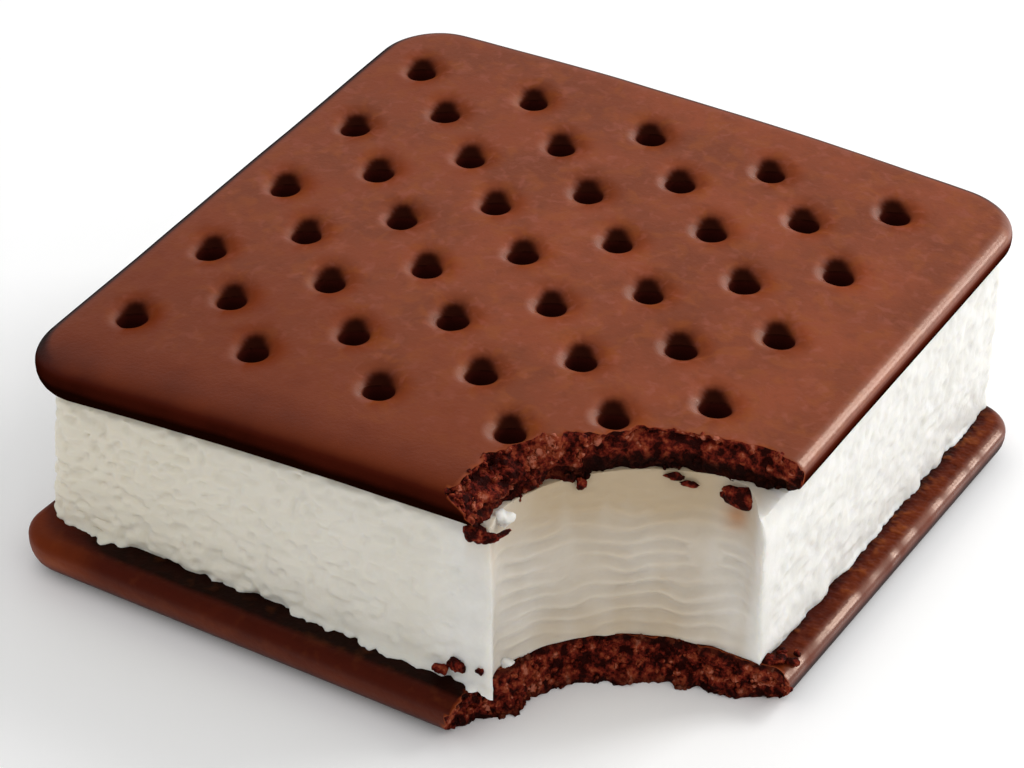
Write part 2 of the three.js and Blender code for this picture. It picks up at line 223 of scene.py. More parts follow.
def turn_plan(plan, angle):
    """Plan points turned anticlockwise about the origin."""
    cos, sin = math.cos(angle), math.sin(angle)
    return plan @ np.array([[cos, sin], [-sin, cos]])


def rounded_square(side, radius, side_steps, corner_steps):
    """The outline of a square with round corners about the origin, anticlockwise."""
    reach = side / 2 - radius
    points = []
    for corner in range(4):
        start = corner * math.pi / 2
        cos, sin = round(math.cos(start)), round(math.sin(start))
        middle = np.array([reach * (cos - sin), reach * (cos + sin)])
        for i in range(corner_steps + 1):
            angle = start + i / corner_steps * math.pi / 2
            points.append(middle + radius * np.array([math.cos(angle), math.sin(angle)]))
        for i in range(1, side_steps):
            run = 2 * reach * i / side_steps
            points.append(middle + radius * np.array([-sin, cos]) - run * np.array([cos, sin]))
    return np.array(points)


def outline_normals(outline):
    """The outward plan direction at each point of an anticlockwise outline."""
    run = np.roll(outline, -1, 0) - np.roll(outline, 1, 0)
    run /= np.linalg.norm(run, axis=1)[:, None]
    return np.column_stack([run[:, 1], -run[:, 0]])


def squarely(normals, x, y):
    """How squarely outward plan directions point the way x, y, from 0 to 1."""
    return np.maximum(normals @ np.array([x, y]), 0) ** 2


def edge_of(points, side, radius):
    """How far in plan points are from the outline of a rounded square, and which way it faces."""
    past = np.abs(points) - (side / 2 - radius)
    outside = np.maximum(past, 0)
    inset = radius - np.linalg.norm(outside, axis=1) - np.minimum(past.max(axis=1), 0)
    nearer = (past == past.max(axis=1, keepdims=True)).astype(float)
    facing = np.where(past.max(axis=1, keepdims=True) > 0, outside, nearer)
    return inset, np.sign(points) * facing / np.linalg.norm(facing, axis=1)[:, None]


def fill_outline(outline, spacing, pegs=()):
    """Triangles inside an outline, graded round pegs. Returns plan points and triangles."""
    unevenness, clear_of_rings, clear_of_outline = 0.12, 0.4, 0.35  # shares of the spacing
    batch = 4000  # points that are tested at a time
    places = [outline]
    for number, peg in enumerate(pegs):
        for radius in HOLE_RINGS:
            count = HOLE_STEPS if radius > HOLE_NARROW_RING else HOLE_STEPS // 3
            angle = np.arange(count) / count * 2 * math.pi + number
            places.append(peg + radius * np.stack([np.cos(angle), np.sin(angle)], 1))
    reach = np.abs(outline).max()
    rows = np.arange(-reach, reach, spacing * math.sqrt(3) / 2)
    grid = []
    for number, y in enumerate(rows):
        x = np.arange(-reach, reach, spacing) + spacing / 2 * (number % 2)
        grid.append(np.stack([x, np.full_like(x, y)], 1))
    grid = np.concatenate(grid)
    jitter_size = 0.7
    jitter = np.stack([relief(*(grid / jitter_size).T, level) for level in (3.5, 10.5)], 1)
    grid = grid + unevenness * spacing * jitter
    for peg in pegs:
        clear = np.linalg.norm(grid - peg, axis=1) > max(HOLE_RINGS) + clear_of_rings * spacing
        grid = grid[clear]
    places.append(grid)
    points = np.concatenate(places)
    # What is near or past the outline goes, by its distance from the outline's edges.
    start, end = outline, np.roll(outline, -1, 0)
    run = end - start
    keep = np.ones(len(points), bool)
    for first in range(len(outline), len(points), batch):
        part = points[first:first + batch]
        away = part[:, None] - start[None]
        share = np.clip((away * run).sum(2) / (run * run).sum(1), 0, 1)
        away -= share[..., None] * run
        nearest = np.argmin((away**2).sum(2), axis=1)
        pick = np.arange(len(part)), nearest
        distance = np.sqrt((away[pick] ** 2).sum(1))
        side = run[nearest, 0] * away[pick][:, 1] - run[nearest, 1] * away[pick][:, 0]
        keep[first:first + batch] = (distance > clear_of_outline * spacing) & (side > 0)
    points = points[keep]
    loop = [(i, (i + 1) % len(outline)) for i in range(len(outline))]
    found = geometry.delaunay_2d_cdt([Vector(p) for p in points], loop, [], 1, 1e-5)
    return np.array([tuple(p) for p in found[0]]), np.array([tuple(f) for f in found[2]])


def stacked_faces(layers, count):
    """Quads between the rings of a stack, with that many points in each ring."""
    faces = []
    for start in range(0, (layers - 1) * count, count):
        for i in range(count):
            a, b = start + i, start + (i + 1) % count
            faces.append((a, b, b + count, a + count))
    return faces


def in_scene(name, data):
    """An object with that data, put in the scene."""
    thing = bpy.data.objects.new(name, data)
    bpy.context.scene.collection.objects.link(thing)
    return thing


def mesh_object(name, points, faces):
    mesh = bpy.data.meshes.new(name)
    mesh.from_pydata([tuple(p) for p in points], [], [tuple(f) for f in faces])
    tidy_mesh(mesh)
    return in_scene(name, mesh)


def tidy_mesh(mesh, distance=1e-4):
    """Merges doubles and points the faces outward."""
    work = bmesh.new()
    work.from_mesh(mesh)
    bmesh.ops.remove_doubles(work, verts=work.verts, dist=distance)
    bmesh.ops.recalc_face_normals(work, faces=work.faces)
    work.to_mesh(mesh)
    work.free()


def points_of(piece):
    points = np.zeros(len(piece.data.vertices) * 3)
    piece.data.vertices.foreach_get("co", points)
    return points.reshape(-1, 3)


def set_points(piece, points):
    piece.data.vertices.foreach_set("co", np.asarray(points, np.float32).ravel())
    piece.data.update()


def set_number(piece, name, values):
    """Keeps one number per point as an attribute that a material reads."""
    attribute = piece.data.attributes.new(name, "FLOAT", "POINT")
    attribute.data.foreach_set("value", np.asarray(values, np.float32))


def add_node(tree, kind, inputs=None, **settings):
    """Adds a node. An input is a value, an output, or a node whose first live output is meant."""
    node = tree.nodes.new(kind)
    for name, value in settings.items():
        setattr(node, name, value)
    for name, value in (inputs or {}).items():
        live = (socket for socket in node.inputs if socket.enabled and socket.name == name)
        socket = node.inputs[name] if isinstance(name, int) else next(live)
        if isinstance(value, bpy.types.Node):
            value = next(output for output in value.outputs if output.enabled)
        if isinstance(value, bpy.types.NodeSocket):
            tree.links.new(value, socket)
        else:
            socket.default_value = value
    return node


def geometry_tree(name, sizes):
    """An empty Geometry Nodes tree with a geometry going in and out, and named sizes."""
    tree = bpy.data.node_groups.new(name, "GeometryNodeTree")
    tree.interface.new_socket("Geometry", in_out="INPUT", socket_type="NodeSocketGeometry")
    for size, value in sizes.items():
        kind = "NodeSocketInt" if isinstance(value, int) else "NodeSocketFloat"
        if isinstance(value, tuple):
            kind = "NodeSocketVector"
        elif isinstance(value, bpy.types.Material):
            kind = "NodeSocketMaterial"
        tree.interface.new_socket(size, in_out="INPUT", socket_type=kind)
    tree.interface.new_socket("Geometry", in_out="OUTPUT", socket_type="NodeSocketGeometry")
    return tree, tree.nodes.new("NodeGroupInput"), tree.nodes.new("NodeGroupOutput")


def grow(piece, tree, sizes):
    """Runs a Geometry Nodes tree on a piece and returns the result as a plain mesh."""
    modifier = piece.modifiers.new(tree.name, "NODES")
    modifier.node_group = tree
    for socket in tree.interface.items_tree:
        if socket.in_out == "INPUT" and socket.name in sizes:
            modifier[socket.identifier] = sizes[socket.name]
    seen = piece.evaluated_get(bpy.context.evaluated_depsgraph_get())
    mesh = bpy.data.meshes.new_from_object(seen)
    piece.modifiers.remove(modifier)
    return mesh


def hole_places(centre):
    """Where the docking holes are on the wafer: long and short rows take turns."""
    places = []
    for row in range(HOLE_ROWS):
        count = HOLE_LONG_ROW - row % 2
        for i in range(count):
            x = (row - (HOLE_ROWS - 1) / 2) * HOLE_ROW_SPACING
            y = (i - (count - 1) / 2) * HOLE_SPACING
            places.append(np.array([x, y]) + centre)
    return places


def blank_wafer(name, rim, hole_centre):
    """The plain biscuit, lying on height 0, with points graded round the docking holes to be."""
    radius, waist = rim["corner radius"], rim["waist"]
    side_steps = round((WAFER_SIDE - 2 * radius) / OUTLINE_STEP)
    corner_steps = round(radius * math.pi / 2 / OUTLINE_STEP)
    outline = rounded_square(WAFER_SIDE, radius, side_steps, corner_steps)
    normals = outline_normals(outline)
    pricked_roll = (
        rim["pricked roll"]
        + squarely(normals, 0, -1) * (rim["front roll"] - rim["pricked roll"])
        + squarely(normals, 1, 0) * (rim["right roll"] - rim["pricked roll"])
    )
    rings = []
    for step in range(-RIM_STEPS, RIM_STEPS + 1):
        angle = step / RIM_STEPS * math.pi / 2
        rise = abs(math.sin(angle)) ** (2 / RIM_SQUARENESS)
        reach = max(math.cos(angle), 0) ** (2 / RIM_SQUARENESS)
        width = np.full(len(outline), rim["plain roll"]) if step < 0 else pricked_roll
        height = waist + rise * (-waist if step < 0 else WAFER_THICKNESS - waist)
        plan = outline - normals * (width * (1 - reach))[:, None]
        rings.append(np.column_stack([plan, np.full(len(plan), height)]))
    points = list(rings)
    faces = stacked_faces(len(rings), len(outline))
    total = len(rings) * len(outline)
    for ring, pegs in ((rings[0], ()), (rings[-1], hole_places(hole_centre))):
        plan, triangles = fill_outline(ring[:, :2], FACE_STEP, pegs)
        points.append(np.column_stack([plan, np.full(len(plan), ring[0, 2])]))
        faces.extend(tuple(t + total) for t in triangles)
        total += len(plan)
    return mesh_object(name, np.concatenate(points), faces)


def pricking_sizes(hole_centre):
    """The measures of the docking holes, by the names of the pricking tree's inputs."""
    long_rows, short_rows = (HOLE_ROWS + 1) // 2, HOLE_ROWS // 2
    return {
        "Long Rows": long_rows,
        "Long Row Holes": HOLE_LONG_ROW,
        "Long Width": 2 * HOLE_ROW_SPACING * (long_rows - 1),
        "Long Length": HOLE_SPACING * (HOLE_LONG_ROW - 1),
        "Short Rows": short_rows,
        "Short Row Holes": HOLE_LONG_ROW - 1,
        "Short Width": 2 * HOLE_ROW_SPACING * (short_rows - 1),
        "Short Length": HOLE_SPACING * (HOLE_LONG_ROW - 2),
        "Grid Centre": (float(hole_centre[0]), float(hole_centre[1]), 0.0),
        "Dimple Start": HOLE_DIMPLE_START,
        "Dimple Radius": HOLE_DIMPLE_RADIUS,
        "Dimple Depth": HOLE_DIMPLE_DEPTH,
        "Dimple Drag": HOLE_DIMPLE_DRAG,
        "Dimple Taper": HOLE_DIMPLE_TAPER,
        "Floor Radius": HOLE_FLOOR_RADIUS,
        "Neck Radius": HOLE_NECK_RADIUS,
        "Pit Depth": HOLE_DEPTH - HOLE_DIMPLE_DEPTH,
        "Above": WAFER_THICKNESS * PRICKED_ABOVE,
        "Unevenness": HOLE_UNEVENNESS,
    }


def pricking_tree(sizes):
    """Presses docking holes into the upper face, on two lattices, one inside the other."""
    tree, given, result = geometry_tree("docking holes", sizes)
    size = given.outputs
    lattices = tree.nodes.new("GeometryNodeJoinGeometry")
    for rows in ("Long", "Short"):
        lattice = add_node(tree, "GeometryNodeMeshGrid", {
            "Size X": size[f"{rows} Width"],
            "Size Y": size[f"{rows} Length"],
            "Vertices X": size[f"{rows} Rows"],
            "Vertices Y": size[f"{rows} Row Holes"],
        })
        tree.links.new(lattice.outputs["Mesh"], lattices.inputs[0])
    centred = add_node(tree, "GeometryNodeTransform", {
        "Geometry": lattices,
        "Translation": size["Grid Centre"],
    })
    place = add_node(tree, "ShaderNodeSeparateXYZ", {
        "Vector": add_node(tree, "GeometryNodeInputPosition"),
    })
    flat = add_node(tree, "ShaderNodeCombineXYZ", {"X": place.outputs["X"], "Y": place.outputs["Y"]})
    # No two holes are quite alike: the distance is stretched a little from place to place, by a
    # noise with bumps 9 mm across and one with bumps 2 mm across.
    patchy = add_node(tree, "ShaderNodeTexNoise", {"Vector": flat, "Scale": 0.11, "Detail": 0.0})
    ragged = add_node(tree, "ShaderNodeTexNoise", {"Vector": flat, "Scale": 0.5, "Detail": 1.0})
    both = add_node(tree, "ShaderNodeMath", {
        0: patchy.outputs[0],
        1: ragged.outputs[0],
    }, operation="ADD")
    uneven = add_node(tree, "ShaderNodeMath", {0: both, 1: 1.0}, operation="SUBTRACT")
    stretch = add_node(tree, "ShaderNodeMath", {
        0: uneven,
        1: size["Unevenness"],
        2: 1.0,
    }, operation="MULTIPLY_ADD")
    # A dimple tapers off along the short line on which its pin has dragged, and so does the painted
    # shade that the skin takes from its depth.
    single = add_node(tree, "GeometryNodePointsToVertices", {
        "Points": add_node(tree, "GeometryNodeMeshToPoints", {"Mesh": centred}),
    })
    dragged = add_node(tree, "GeometryNodeExtrudeMesh", {
        "Mesh": single,
        "Offset": size["Dimple Drag"],
    }, mode="VERTICES")
    distances = []
    for marks, part in ((centred, "POINTS"), (dragged, "EDGES")):
        near = add_node(tree, "GeometryNodeProximity", {
            "Geometry": marks,
            "Sample Position": flat,
        }, target_element=part)
        distances.append(add_node(tree, "ShaderNodeMath", {
            0: near.outputs["Distance"],
            1: stretch,
        }, operation="MULTIPLY"))
    tapered = add_node(tree, "ShaderNodeMix", {
        "Factor": size["Dimple Taper"],
        "A": distances[1],
        "B": distances[0],
    }, data_type="FLOAT")
    dimple = add_node(tree, "ShaderNodeMapRange", {
        "Value": tapered,
        "From Min": size["Dimple Start"],
        "From Max": size["Dimple Radius"],
        "To Min": size["Dimple Depth"],
        "To Max": 0.0,
    }, interpolation_type="SMOOTHSTEP")
    pit = add_node(tree, "ShaderNodeMapRange", {
        "Value": distances[0],
        "From Min": size["Floor Radius"],
        "From Max": size["Neck Radius"],
        "To Min": 1.0,
        "To Max": 0.0,
    }, interpolation_type="SMOOTHSTEP")
    depth = add_node(tree, "ShaderNodeMath", {
        0: pit,
        1: size["Pit Depth"],
        2: dimple,
    }, operation="MULTIPLY_ADD")
    down = add_node(tree, "ShaderNodeMath", {0: depth, 1: -1.0}, operation="MULTIPLY")
    upper = add_node(tree, "ShaderNodeMath", {
        0: place.outputs["Z"],
        1: size["Above"],
    }, operation="GREATER_THAN")
    marked = size["Geometry"]
    # Their depths are kept for the skin, which paints shade in the holes by them.
    for name, depth_share in (("pit", pit), ("dimple", dimple)):
        marked = add_node(tree, "GeometryNodeStoreNamedAttribute", {
            "Geometry": marked,
            "Selection": upper,
            "Name": name,
            "Value": depth_share,
        }, data_type="FLOAT", domain="POINT")
    pressed = add_node(tree, "GeometryNodeSetPosition", {
        "Geometry": marked,
        "Selection": upper,
        "Offset": add_node(tree, "ShaderNodeCombineXYZ", {"Z": down}),
    })
    tree.links.new(pressed.outputs[0], result.inputs[0])
    return tree


pricking = pricking_tree(pricking_sizes(LOWER_HOLE_CENTRE))


def pricked_wafer(name, rim, hole_centre):
    """The biscuit with its holes pricked into the upper face."""
    wafer = blank_wafer(name, rim, hole_centre)
    wafer.data = grow(wafer, pricking, pricking_sizes(hole_centre))
    return wafer


def bite_cutter(lower, upper, z0, z1, step, wall):
    """A round cutter that goes from one bite curve to another, with a rough wall."""
    fine = math.radians(BITE_ARC[1] - BITE_ARC[0]) * lower[2] / step
    arc = np.linspace(*BITE_ARC, round(fine))
    rest = np.linspace(BITE_ARC[1], BITE_ARC[0] + 360, BITE_REST_STEPS)[1:-1]
    degrees = np.concatenate([arc, rest])
    turn = np.radians(degrees)
    angle = np.mod(degrees, 360)
    front = smooth(angle, *BITE_FRONT_FLARE)
    side = fade(angle, BITE_SIDE_FLARE[1], BITE_SIDE_FLARE[0])
    layers = round((z1 - z0) / step)
    points = []
    for layer in range(-1, layers + 2):
        share = min(max(layer / layers, 0), 1)
        over = -BITE_OVERSHOOT if layer < 0 else BITE_OVERSHOOT if layer > layers else 0
        z = z0 + (z1 - z0) * share
        x, y, radius, front_flare, side_flare = (a + (b - a) * share for a, b in zip(lower, upper))
        reach = radius + front * front_flare + side * side_flare
        reach = reach + wall(x + reach * np.cos(turn), y + reach * np.sin(turn), z, share, angle)
        height = np.full_like(reach, z + over)
        points.append(np.column_stack([x + reach * np.cos(turn), y + reach * np.sin(turn), height]))
    count = len(turn)
    faces = stacked_faces(len(points), count)
    faces.append(tuple(range(count))[::-1])
    faces.append(tuple(range((len(points) - 1) * count, len(points) * count)))
    return mesh_object("bite", np.concatenate(points), faces)


def crags(x, y, z):
    """The wall of a wafer that has been snapped through: the larger crags and finer crumb."""
    coarse = bumps(x, y, z, 1 - CRAG_FINE_SHARE, CRAG_SIZE, CRAG_SIZE)
    fine = bumps(x, y, z, CRAG_FINE_SHARE, CRAG_SIZE / 2, CRAG_SIZE / 2, 9)
    crumb = sum(np.abs(bumps(x, y, z, depth, size, size, 20)) for size, depth in CRUMB_LUMPS)
    return CRAG_DEPTH * (coarse + fine), crumb - CRUMB_LEVEL


def lower_break(x, y, z, share, angle):
    """Crags with broad scallops where whole pieces have come away."""
    crag, crumb = crags(x, y, z)
    return 0.7 * crag + crumb + bumps(x, y, 0, SCALLOP_DEPTH, SCALLOP_SIZE, 1, 0.5)


def cut(piece, cutter):
    """Takes the cutter out of the piece. The new faces keep the cutter's material number."""
    modifier = piece.modifiers.new("cut", "BOOLEAN")
    modifier.object = cutter
    modifier.operation = "DIFFERENCE"
    modifier.solver = "MANIFOLD"
    seen = piece.evaluated_get(bpy.context.evaluated_depsgraph_get())
    mesh = bpy.data.meshes.new_from_object(seen)
    piece.modifiers.remove(modifier)
    piece.data = mesh
    bpy.data.objects.remove(cutter)


def linear(colour):
    """The linear colour of an sRGB hex value."""
    parts = [int(colour[i:i + 2], 16) / 255 for i in (1, 3, 5)]
    return (*((c / 12.92 if c <= 0.04045 else ((c + 0.055) / 1.055) ** 2.4) for c in parts), 1)


def pattern_scale(size):
    """The scale of a texture whose bumps are that many millimetres across."""
    return 1 / (size * MM)


def new_material(name):
    material = bpy.data.materials.new(name)
    material.use_nodes = True
    tree = material.node_tree
    shader = next(n for n in tree.nodes if n.type == "BSDF_PRINCIPLED")
    place = add_node(tree, "ShaderNodeTexCoord").outputs["Object"]
    return material, tree, shader, place


def numbers_of(tree, *names):
    """The numbers that the mesh keeps at its points under those names, for the material."""
    read = (add_node(tree, "ShaderNodeAttribute", attribute_name=name) for name in names)
    return [node.outputs["Fac"] for node in read]


def layered(tree, colour, value, tones):
    """Lays tones over a colour, one on another. Each grows to its full share as the value goes
    from start to end."""
    for start, end, share, tone in tones:
        strength = add_node(tree, "ShaderNodeMapRange", {
            "Value": value, "From Min": start, "From Max": end, "To Max": share,
        })
        colour = add_node(tree, "ShaderNodeMix", {
            "Factor": strength, "A": colour, "B": linear(tone),
        }, data_type="RGBA")
    return colour


def wafer_skin():
    """Baked chocolate wafer, rolled thin and baked dry: a brown skin with hardly any gloss, soft rusty
    and pinkish mottling and a fine grain. It is darker where the rim has baked hardest, and painted
    shade darkens the rim below, the face towards the front and left and the wafer beside the ice
    cream's foot, and makes the holes nearly black. It has a sheen where the rim has been pressed
    smooth."""
    material, tree, shader, place = new_material("baked chocolate wafer, satin")
    # "baked" is how hard baked the skin is, with painted shade added in, "blistered" how rough it is
    # where it has cracked along an edge, "dimple" and "pit" how deep it has been pressed in, which
    # also sets the painted shade in the holes, and "gloss" its shine.
    baked, blistered, dimple, pit, gloss = numbers_of(
        tree, "baked", "blistered", "dimple", "pit", "gloss",
    )
    mottle = add_node(tree, "ShaderNodeTexNoise", {
        "Vector": place, "Scale": pattern_scale(8), "Detail": 4.0, "Roughness": 0.6,
    })
    face = layered(tree, linear(WAFER_BROWN), mottle, [(0.38, 0.64, 1, WAFER_PALE)])
    for size, start, share, tone in ((2.4, 0.5, 0.5, WAFER_ORANGE), (1.4, 0.54, 0.4, WAFER_PINK)):
        blotch = add_node(tree, "ShaderNodeTexNoise", {
            "Vector": place, "Scale": pattern_scale(size), "Detail": 2.0, "Distortion": 0.6,
        })
        face = layered(tree, face, blotch, [(start, start + 0.17, share, tone)])
    speck = add_node(tree, "ShaderNodeTexNoise", {
        "Vector": place, "Scale": pattern_scale(1.1), "Detail": 2.0, "Roughness": 0.55,
    })
    face = layered(tree, face, speck, [(0.44, 0.28, 0.2, WAFER_SPECK)])
    # The shade of the rim wanders a little, as it does on a baked edge.
    wander = add_node(tree, "ShaderNodeMath", {0: mottle, 1: 0.5}, operation="SUBTRACT")
    shade = add_node(tree, "ShaderNodeMath", {0: wander, 1: 0.35, 2: baked}, operation="MULTIPLY_ADD")
    # The rust, maroon and black tones carry both the baking and the painted shade held in "baked".
    face = layered(tree, face, shade, [
        (0.08, 0.3, 1, WAFER_RUST),
        (0.3, 0.58, 1, WAFER_MAROON),
        (0.6, 0.93, 1, WAFER_BLACK),
    ])
    blisters = add_node(tree, "ShaderNodeTexNoise", {
        "Vector": place, "Scale": pattern_scale(1.7), "Detail": 2.0,
    })
    face = layered(tree, face, blisters, [
        (0.5, 0.34, blistered, WAFER_MAROON),
        (0.56, 0.74, blistered, WAFER_ORANGE),
    ])
    # Painted shade in the holes: the deeper slope of each dimple and the pit are painted dark brown to
    # nearly black.
    face = layered(tree, face, dimple, [
        (0.3 * HOLE_DIMPLE_DEPTH, 0.85 * HOLE_DIMPLE_DEPTH, 0.93, HOLE_SHADE_BROWN),
        (0.58 * HOLE_DIMPLE_DEPTH, 0.92 * HOLE_DIMPLE_DEPTH, 0.93, HOLE_SHADE_BLACK),
    ])
    face = layered(tree, face, pit, [(0, 0.1, 1, HOLE_SHADE_BROWN)])
    tree.links.new(face.outputs["Result"], shader.inputs["Base Color"])
    tree.links.new(gloss, shader.inputs["Specular IOR Level"])
    rough = add_node(tree, "ShaderNodeMapRange", {
        "Value": gloss, "From Min": 0.4, "From Max": 0.9, "To Min": 0.48, "To Max": 0.24,
    })
    tree.links.new(rough.outputs[0], shader.inputs["Roughness"])
    grain = add_node(tree, "ShaderNodeTexNoise", {
        "Vector": place, "Scale": pattern_scale(0.45), "Detail": 3.0, "Roughness": 0.6,
    })
    fine = add_node(tree, "ShaderNodeBump", {"Strength": 0.35, "Distance": 0.1 * MM, "Height": grain})
    bump = add_node(tree, "ShaderNodeBump", {
        "Strength": blistered, "Distance": 0.8 * MM, "Height": blisters, "Normal": fine,
    })
    tree.links.new(bump.outputs[0], shader.inputs["Normal"])
    shader.inputs["IOR"].default_value = 1.45
    shader.inputs["Specular Tint"].default_value = linear(WAFER_SHEEN)
    return material


def wafer_crumb():
    """Broken chocolate wafer: dry open crumb without gloss, with paler rusty grains where it has torn.
    Painted shade makes it nearly black in its hollows and towards the face that lies on the ice cream,
    and painted highlights make the tops of its lumps pale."""
    material, tree, shader, place = new_material("broken chocolate wafer crumb")
    # "torn" is how much of the paler inside shows, "tone" is a grain's own shade, and "shaded" is
    # how dark the crumb is next to the ice cream and under the wafer.
    torn, tone, shaded = numbers_of(tree, "torn", "tone", "shaded")
    lumps = add_node(tree, "ShaderNodeTexNoise", {
        "Vector": place, "Scale": pattern_scale(1.1), "Detail": 3.0, "Roughness": 0.62,
    })
    shade = lumps
    for number, share in ((torn, 0.12), (tone, 0.1)):
        shade = add_node(tree, "ShaderNodeMath", {
            0: number, 1: share, 2: shade,
        }, operation="MULTIPLY_ADD")
    # The lumps that raise the bumps also set the colour: painted shade in their hollows and painted
    # highlights on their tops, over the crumb's own red and torn tones.
    crumb = layered(tree, linear(CRUMB_HOLLOW_SHADE), shade, [
        (0.45, 0.58, 1, CRUMB_RED),
        (0.56, 0.64, 1, CRUMB_TORN),
        (0.66, 0.72, 1, CRUMB_HIGHLIGHT),
    ])
    crumb = layered(tree, crumb, shaded, [(0, 1, 1, WAFER_BLACK)])
    tree.links.new(crumb.outputs["Result"], shader.inputs["Base Color"])
    shader.inputs["Roughness"].default_value = 0.65
    shader.inputs["Specular IOR Level"].default_value = 0.05
    shader.inputs["IOR"].default_value = 1.45
    grain = add_node(tree, "ShaderNodeTexNoise", {
        "Vector": place, "Scale": pattern_scale(0.3), "Detail": 3.0, "Roughness": 0.7,
    })
    fine = add_node(tree, "ShaderNodeBump", {"Strength": 0.6, "Distance": 0.15 * MM, "Height": grain})
    bump = add_node(tree, "ShaderNodeBump", {
        "Strength": 0.8, "Distance": 0.8 * MM, "Height": lumps, "Normal": fine,
    })
    tree.links.new(bump.outputs[0], shader.inputs["Normal"])
    return material


skin_finish = wafer_skin()
crumb_finish = wafer_crumb()


def bite_off(wafer, cutter):
    """Cuts the bite out of a wafer: its skin is material 0 and the broken crumb material 1."""
    for piece in (wafer, cutter):
        piece.data.materials.clear()
        piece.data.materials.append(skin_finish)
        piece.data.materials.append(crumb_finish)
    cutter.data.polygons.foreach_set("material_index", np.ones(len(cutter.data.polygons), int))
    wafer.data.polygons.foreach_set("material_index", np.zeros(len(wafer.data.polygons), int))
    cut(wafer, cutter)


def crumb_tree(sizes):
    """Grains of crumb standing out of a broken face, each with a shade of its own."""
    tree, given, result = geometry_tree("torn crumb", sizes)
    size = given.outputs
    broken = add_node(tree, "GeometryNodeMaterialSelection", {"Material": size["Crumb"]})
    crumbly = add_node(tree, "GeometryNodeInputNamedAttribute", {"Name": "crumbly"}, data_type="FLOAT")
    spots = add_node(tree, "GeometryNodeDistributePointsOnFaces", {
        "Mesh": size["Geometry"],
        "Selection": broken,
        "Distance Min": size["Spacing"],
        "Density Max": size["Density"],
        "Density Factor": crumbly,
        "Seed": size["Place Seed"],
    }, distribute_method="POISSON")
    turn = add_node(tree, "FunctionNodeRandomValue", {
        "Min": (-math.pi,) * 3, "Max": (math.pi,) * 3, "Seed": size["Place Seed"],
    }, data_type="FLOAT_VECTOR")
    shape = add_node(tree, "FunctionNodeRandomValue", {
        "Min": size["Thinnest"], "Max": size["Longest"], "Seed": size["Shape Seed"],
    }, data_type="FLOAT_VECTOR")
    reach = add_node(tree, "FunctionNodeRandomValue", {
        "Min": size["Smallest"], "Max": size["Largest"], "Seed": size["Size Seed"],
    }, data_type="FLOAT")
    stretched = add_node(tree, "ShaderNodeVectorMath", {
        "Vector": shape, "Scale": reach,
    }, operation="SCALE")
    grains = add_node(tree, "GeometryNodeInstanceOnPoints", {
        "Points": spots,
        "Instance": add_node(tree, "GeometryNodeMeshIcoSphere", {"Radius": 1.0, "Subdivisions": 2}),
        "Rotation": turn,
        "Scale": stretched,
    })
    toned = add_node(tree, "GeometryNodeStoreNamedAttribute", {
        "Geometry": grains,
        "Name": "tone",
        "Value": add_node(tree, "FunctionNodeRandomValue", {
            "Seed": size["Tone Seed"],
        }, data_type="FLOAT"),
    }, data_type="FLOAT", domain="INSTANCE")
    real = add_node(tree, "GeometryNodeRealizeInstances", {"Geometry": toned})
    rough = add_node(tree, "ShaderNodeTexNoise", {
        "Vector": add_node(tree, "GeometryNodeInputPosition"),
        "Scale": size["Jag Scale"],
        "Detail": 1.0,
    })
    out = add_node(tree, "ShaderNodeMath", {0: rough, 1: 0.5}, operation="SUBTRACT")
    out = add_node(tree, "ShaderNodeMath", {0: out, 1: size["Jag Height"]}, operation="MULTIPLY")
    offset = add_node(tree, "ShaderNodeVectorMath", {
        "Vector": add_node(tree, "GeometryNodeInputNormal"), "Scale": out,
    }, operation="SCALE")
    jagged = add_node(tree, "GeometryNodeSetPosition", {"Geometry": real, "Offset": offset})
    finished = add_node(tree, "GeometryNodeSetMaterial", {
        "Geometry": jagged, "Material": size["Crumb"],
    })
    tree.links.new(finished.outputs[0], result.inputs[0])
    return tree


CRUMB = {
    "Crumb": crumb_finish,
    "Density": 4.0,  # grains to the square millimetre
    "Spacing": 0.28,
    "Smallest": 0.12,
    "Largest": 0.5,
    "Thinnest": (0.35, 0.35, 0.35),  # a grain's sides, as shares of its size
    "Longest": (1.3, 1.3, 1.3),
    "Jag Height": 0.7,
    "Jag Scale": 3.0,  # jags to the millimetre
    "Place Seed": 3,
    "Shape Seed": 11,
    "Size Seed": 12,
    "Tone Seed": 13,
}
LOWER_CRUMB = CRUMB | {"Density": 3.4, "Largest": 0.42}
torn_crumb = crumb_tree(CRUMB)


def crumb_piece(name, wafer, sizes):
    """The grains that stand out of a wafer's broken face, as a piece of their own."""
    return in_scene(name, grow(wafer, torn_crumb, sizes))


def crumb_clusters(points):
    """Where grains of crumb stand together on a broken face, from 0 to 1."""
    return smooth(relief(*(points / CLUSTER_SIZE).T), -0.35, 0.35)


def torn_patches(points):
    """Where the crumb has torn and is paler, from 0 to 1."""
    return smooth(relief(*(points / PATCH_SIZE + 40).T), -0.1, 0.5)


def finish_piece(piece, node, sharp):
    """Moves a piece from plan millimetres to frame metres and hands it to the frame. An edge
    stays sharp where it turns more than that many degrees."""
    set_points(piece, (points_of(piece) + ORIGIN) * MM)
    mesh = piece.data
    mesh.polygons.foreach_set("use_smooth", np.ones(len(mesh.polygons), bool))
    mesh.set_sharp_from_angle(angle=math.radians(sharp))
    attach(piece, "root")
    if node:
        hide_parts(node)


def pinch(x):
    """How much thinner the wafers are at a place."""
    return PINCH * (np.maximum(x - PINCH_START, 0) / (PINCH_END - PINCH_START)) ** 2


lower_wafer = pricked_wafer("lower_wafer", LOWER_RIM, LOWER_HOLE_CENTRE)

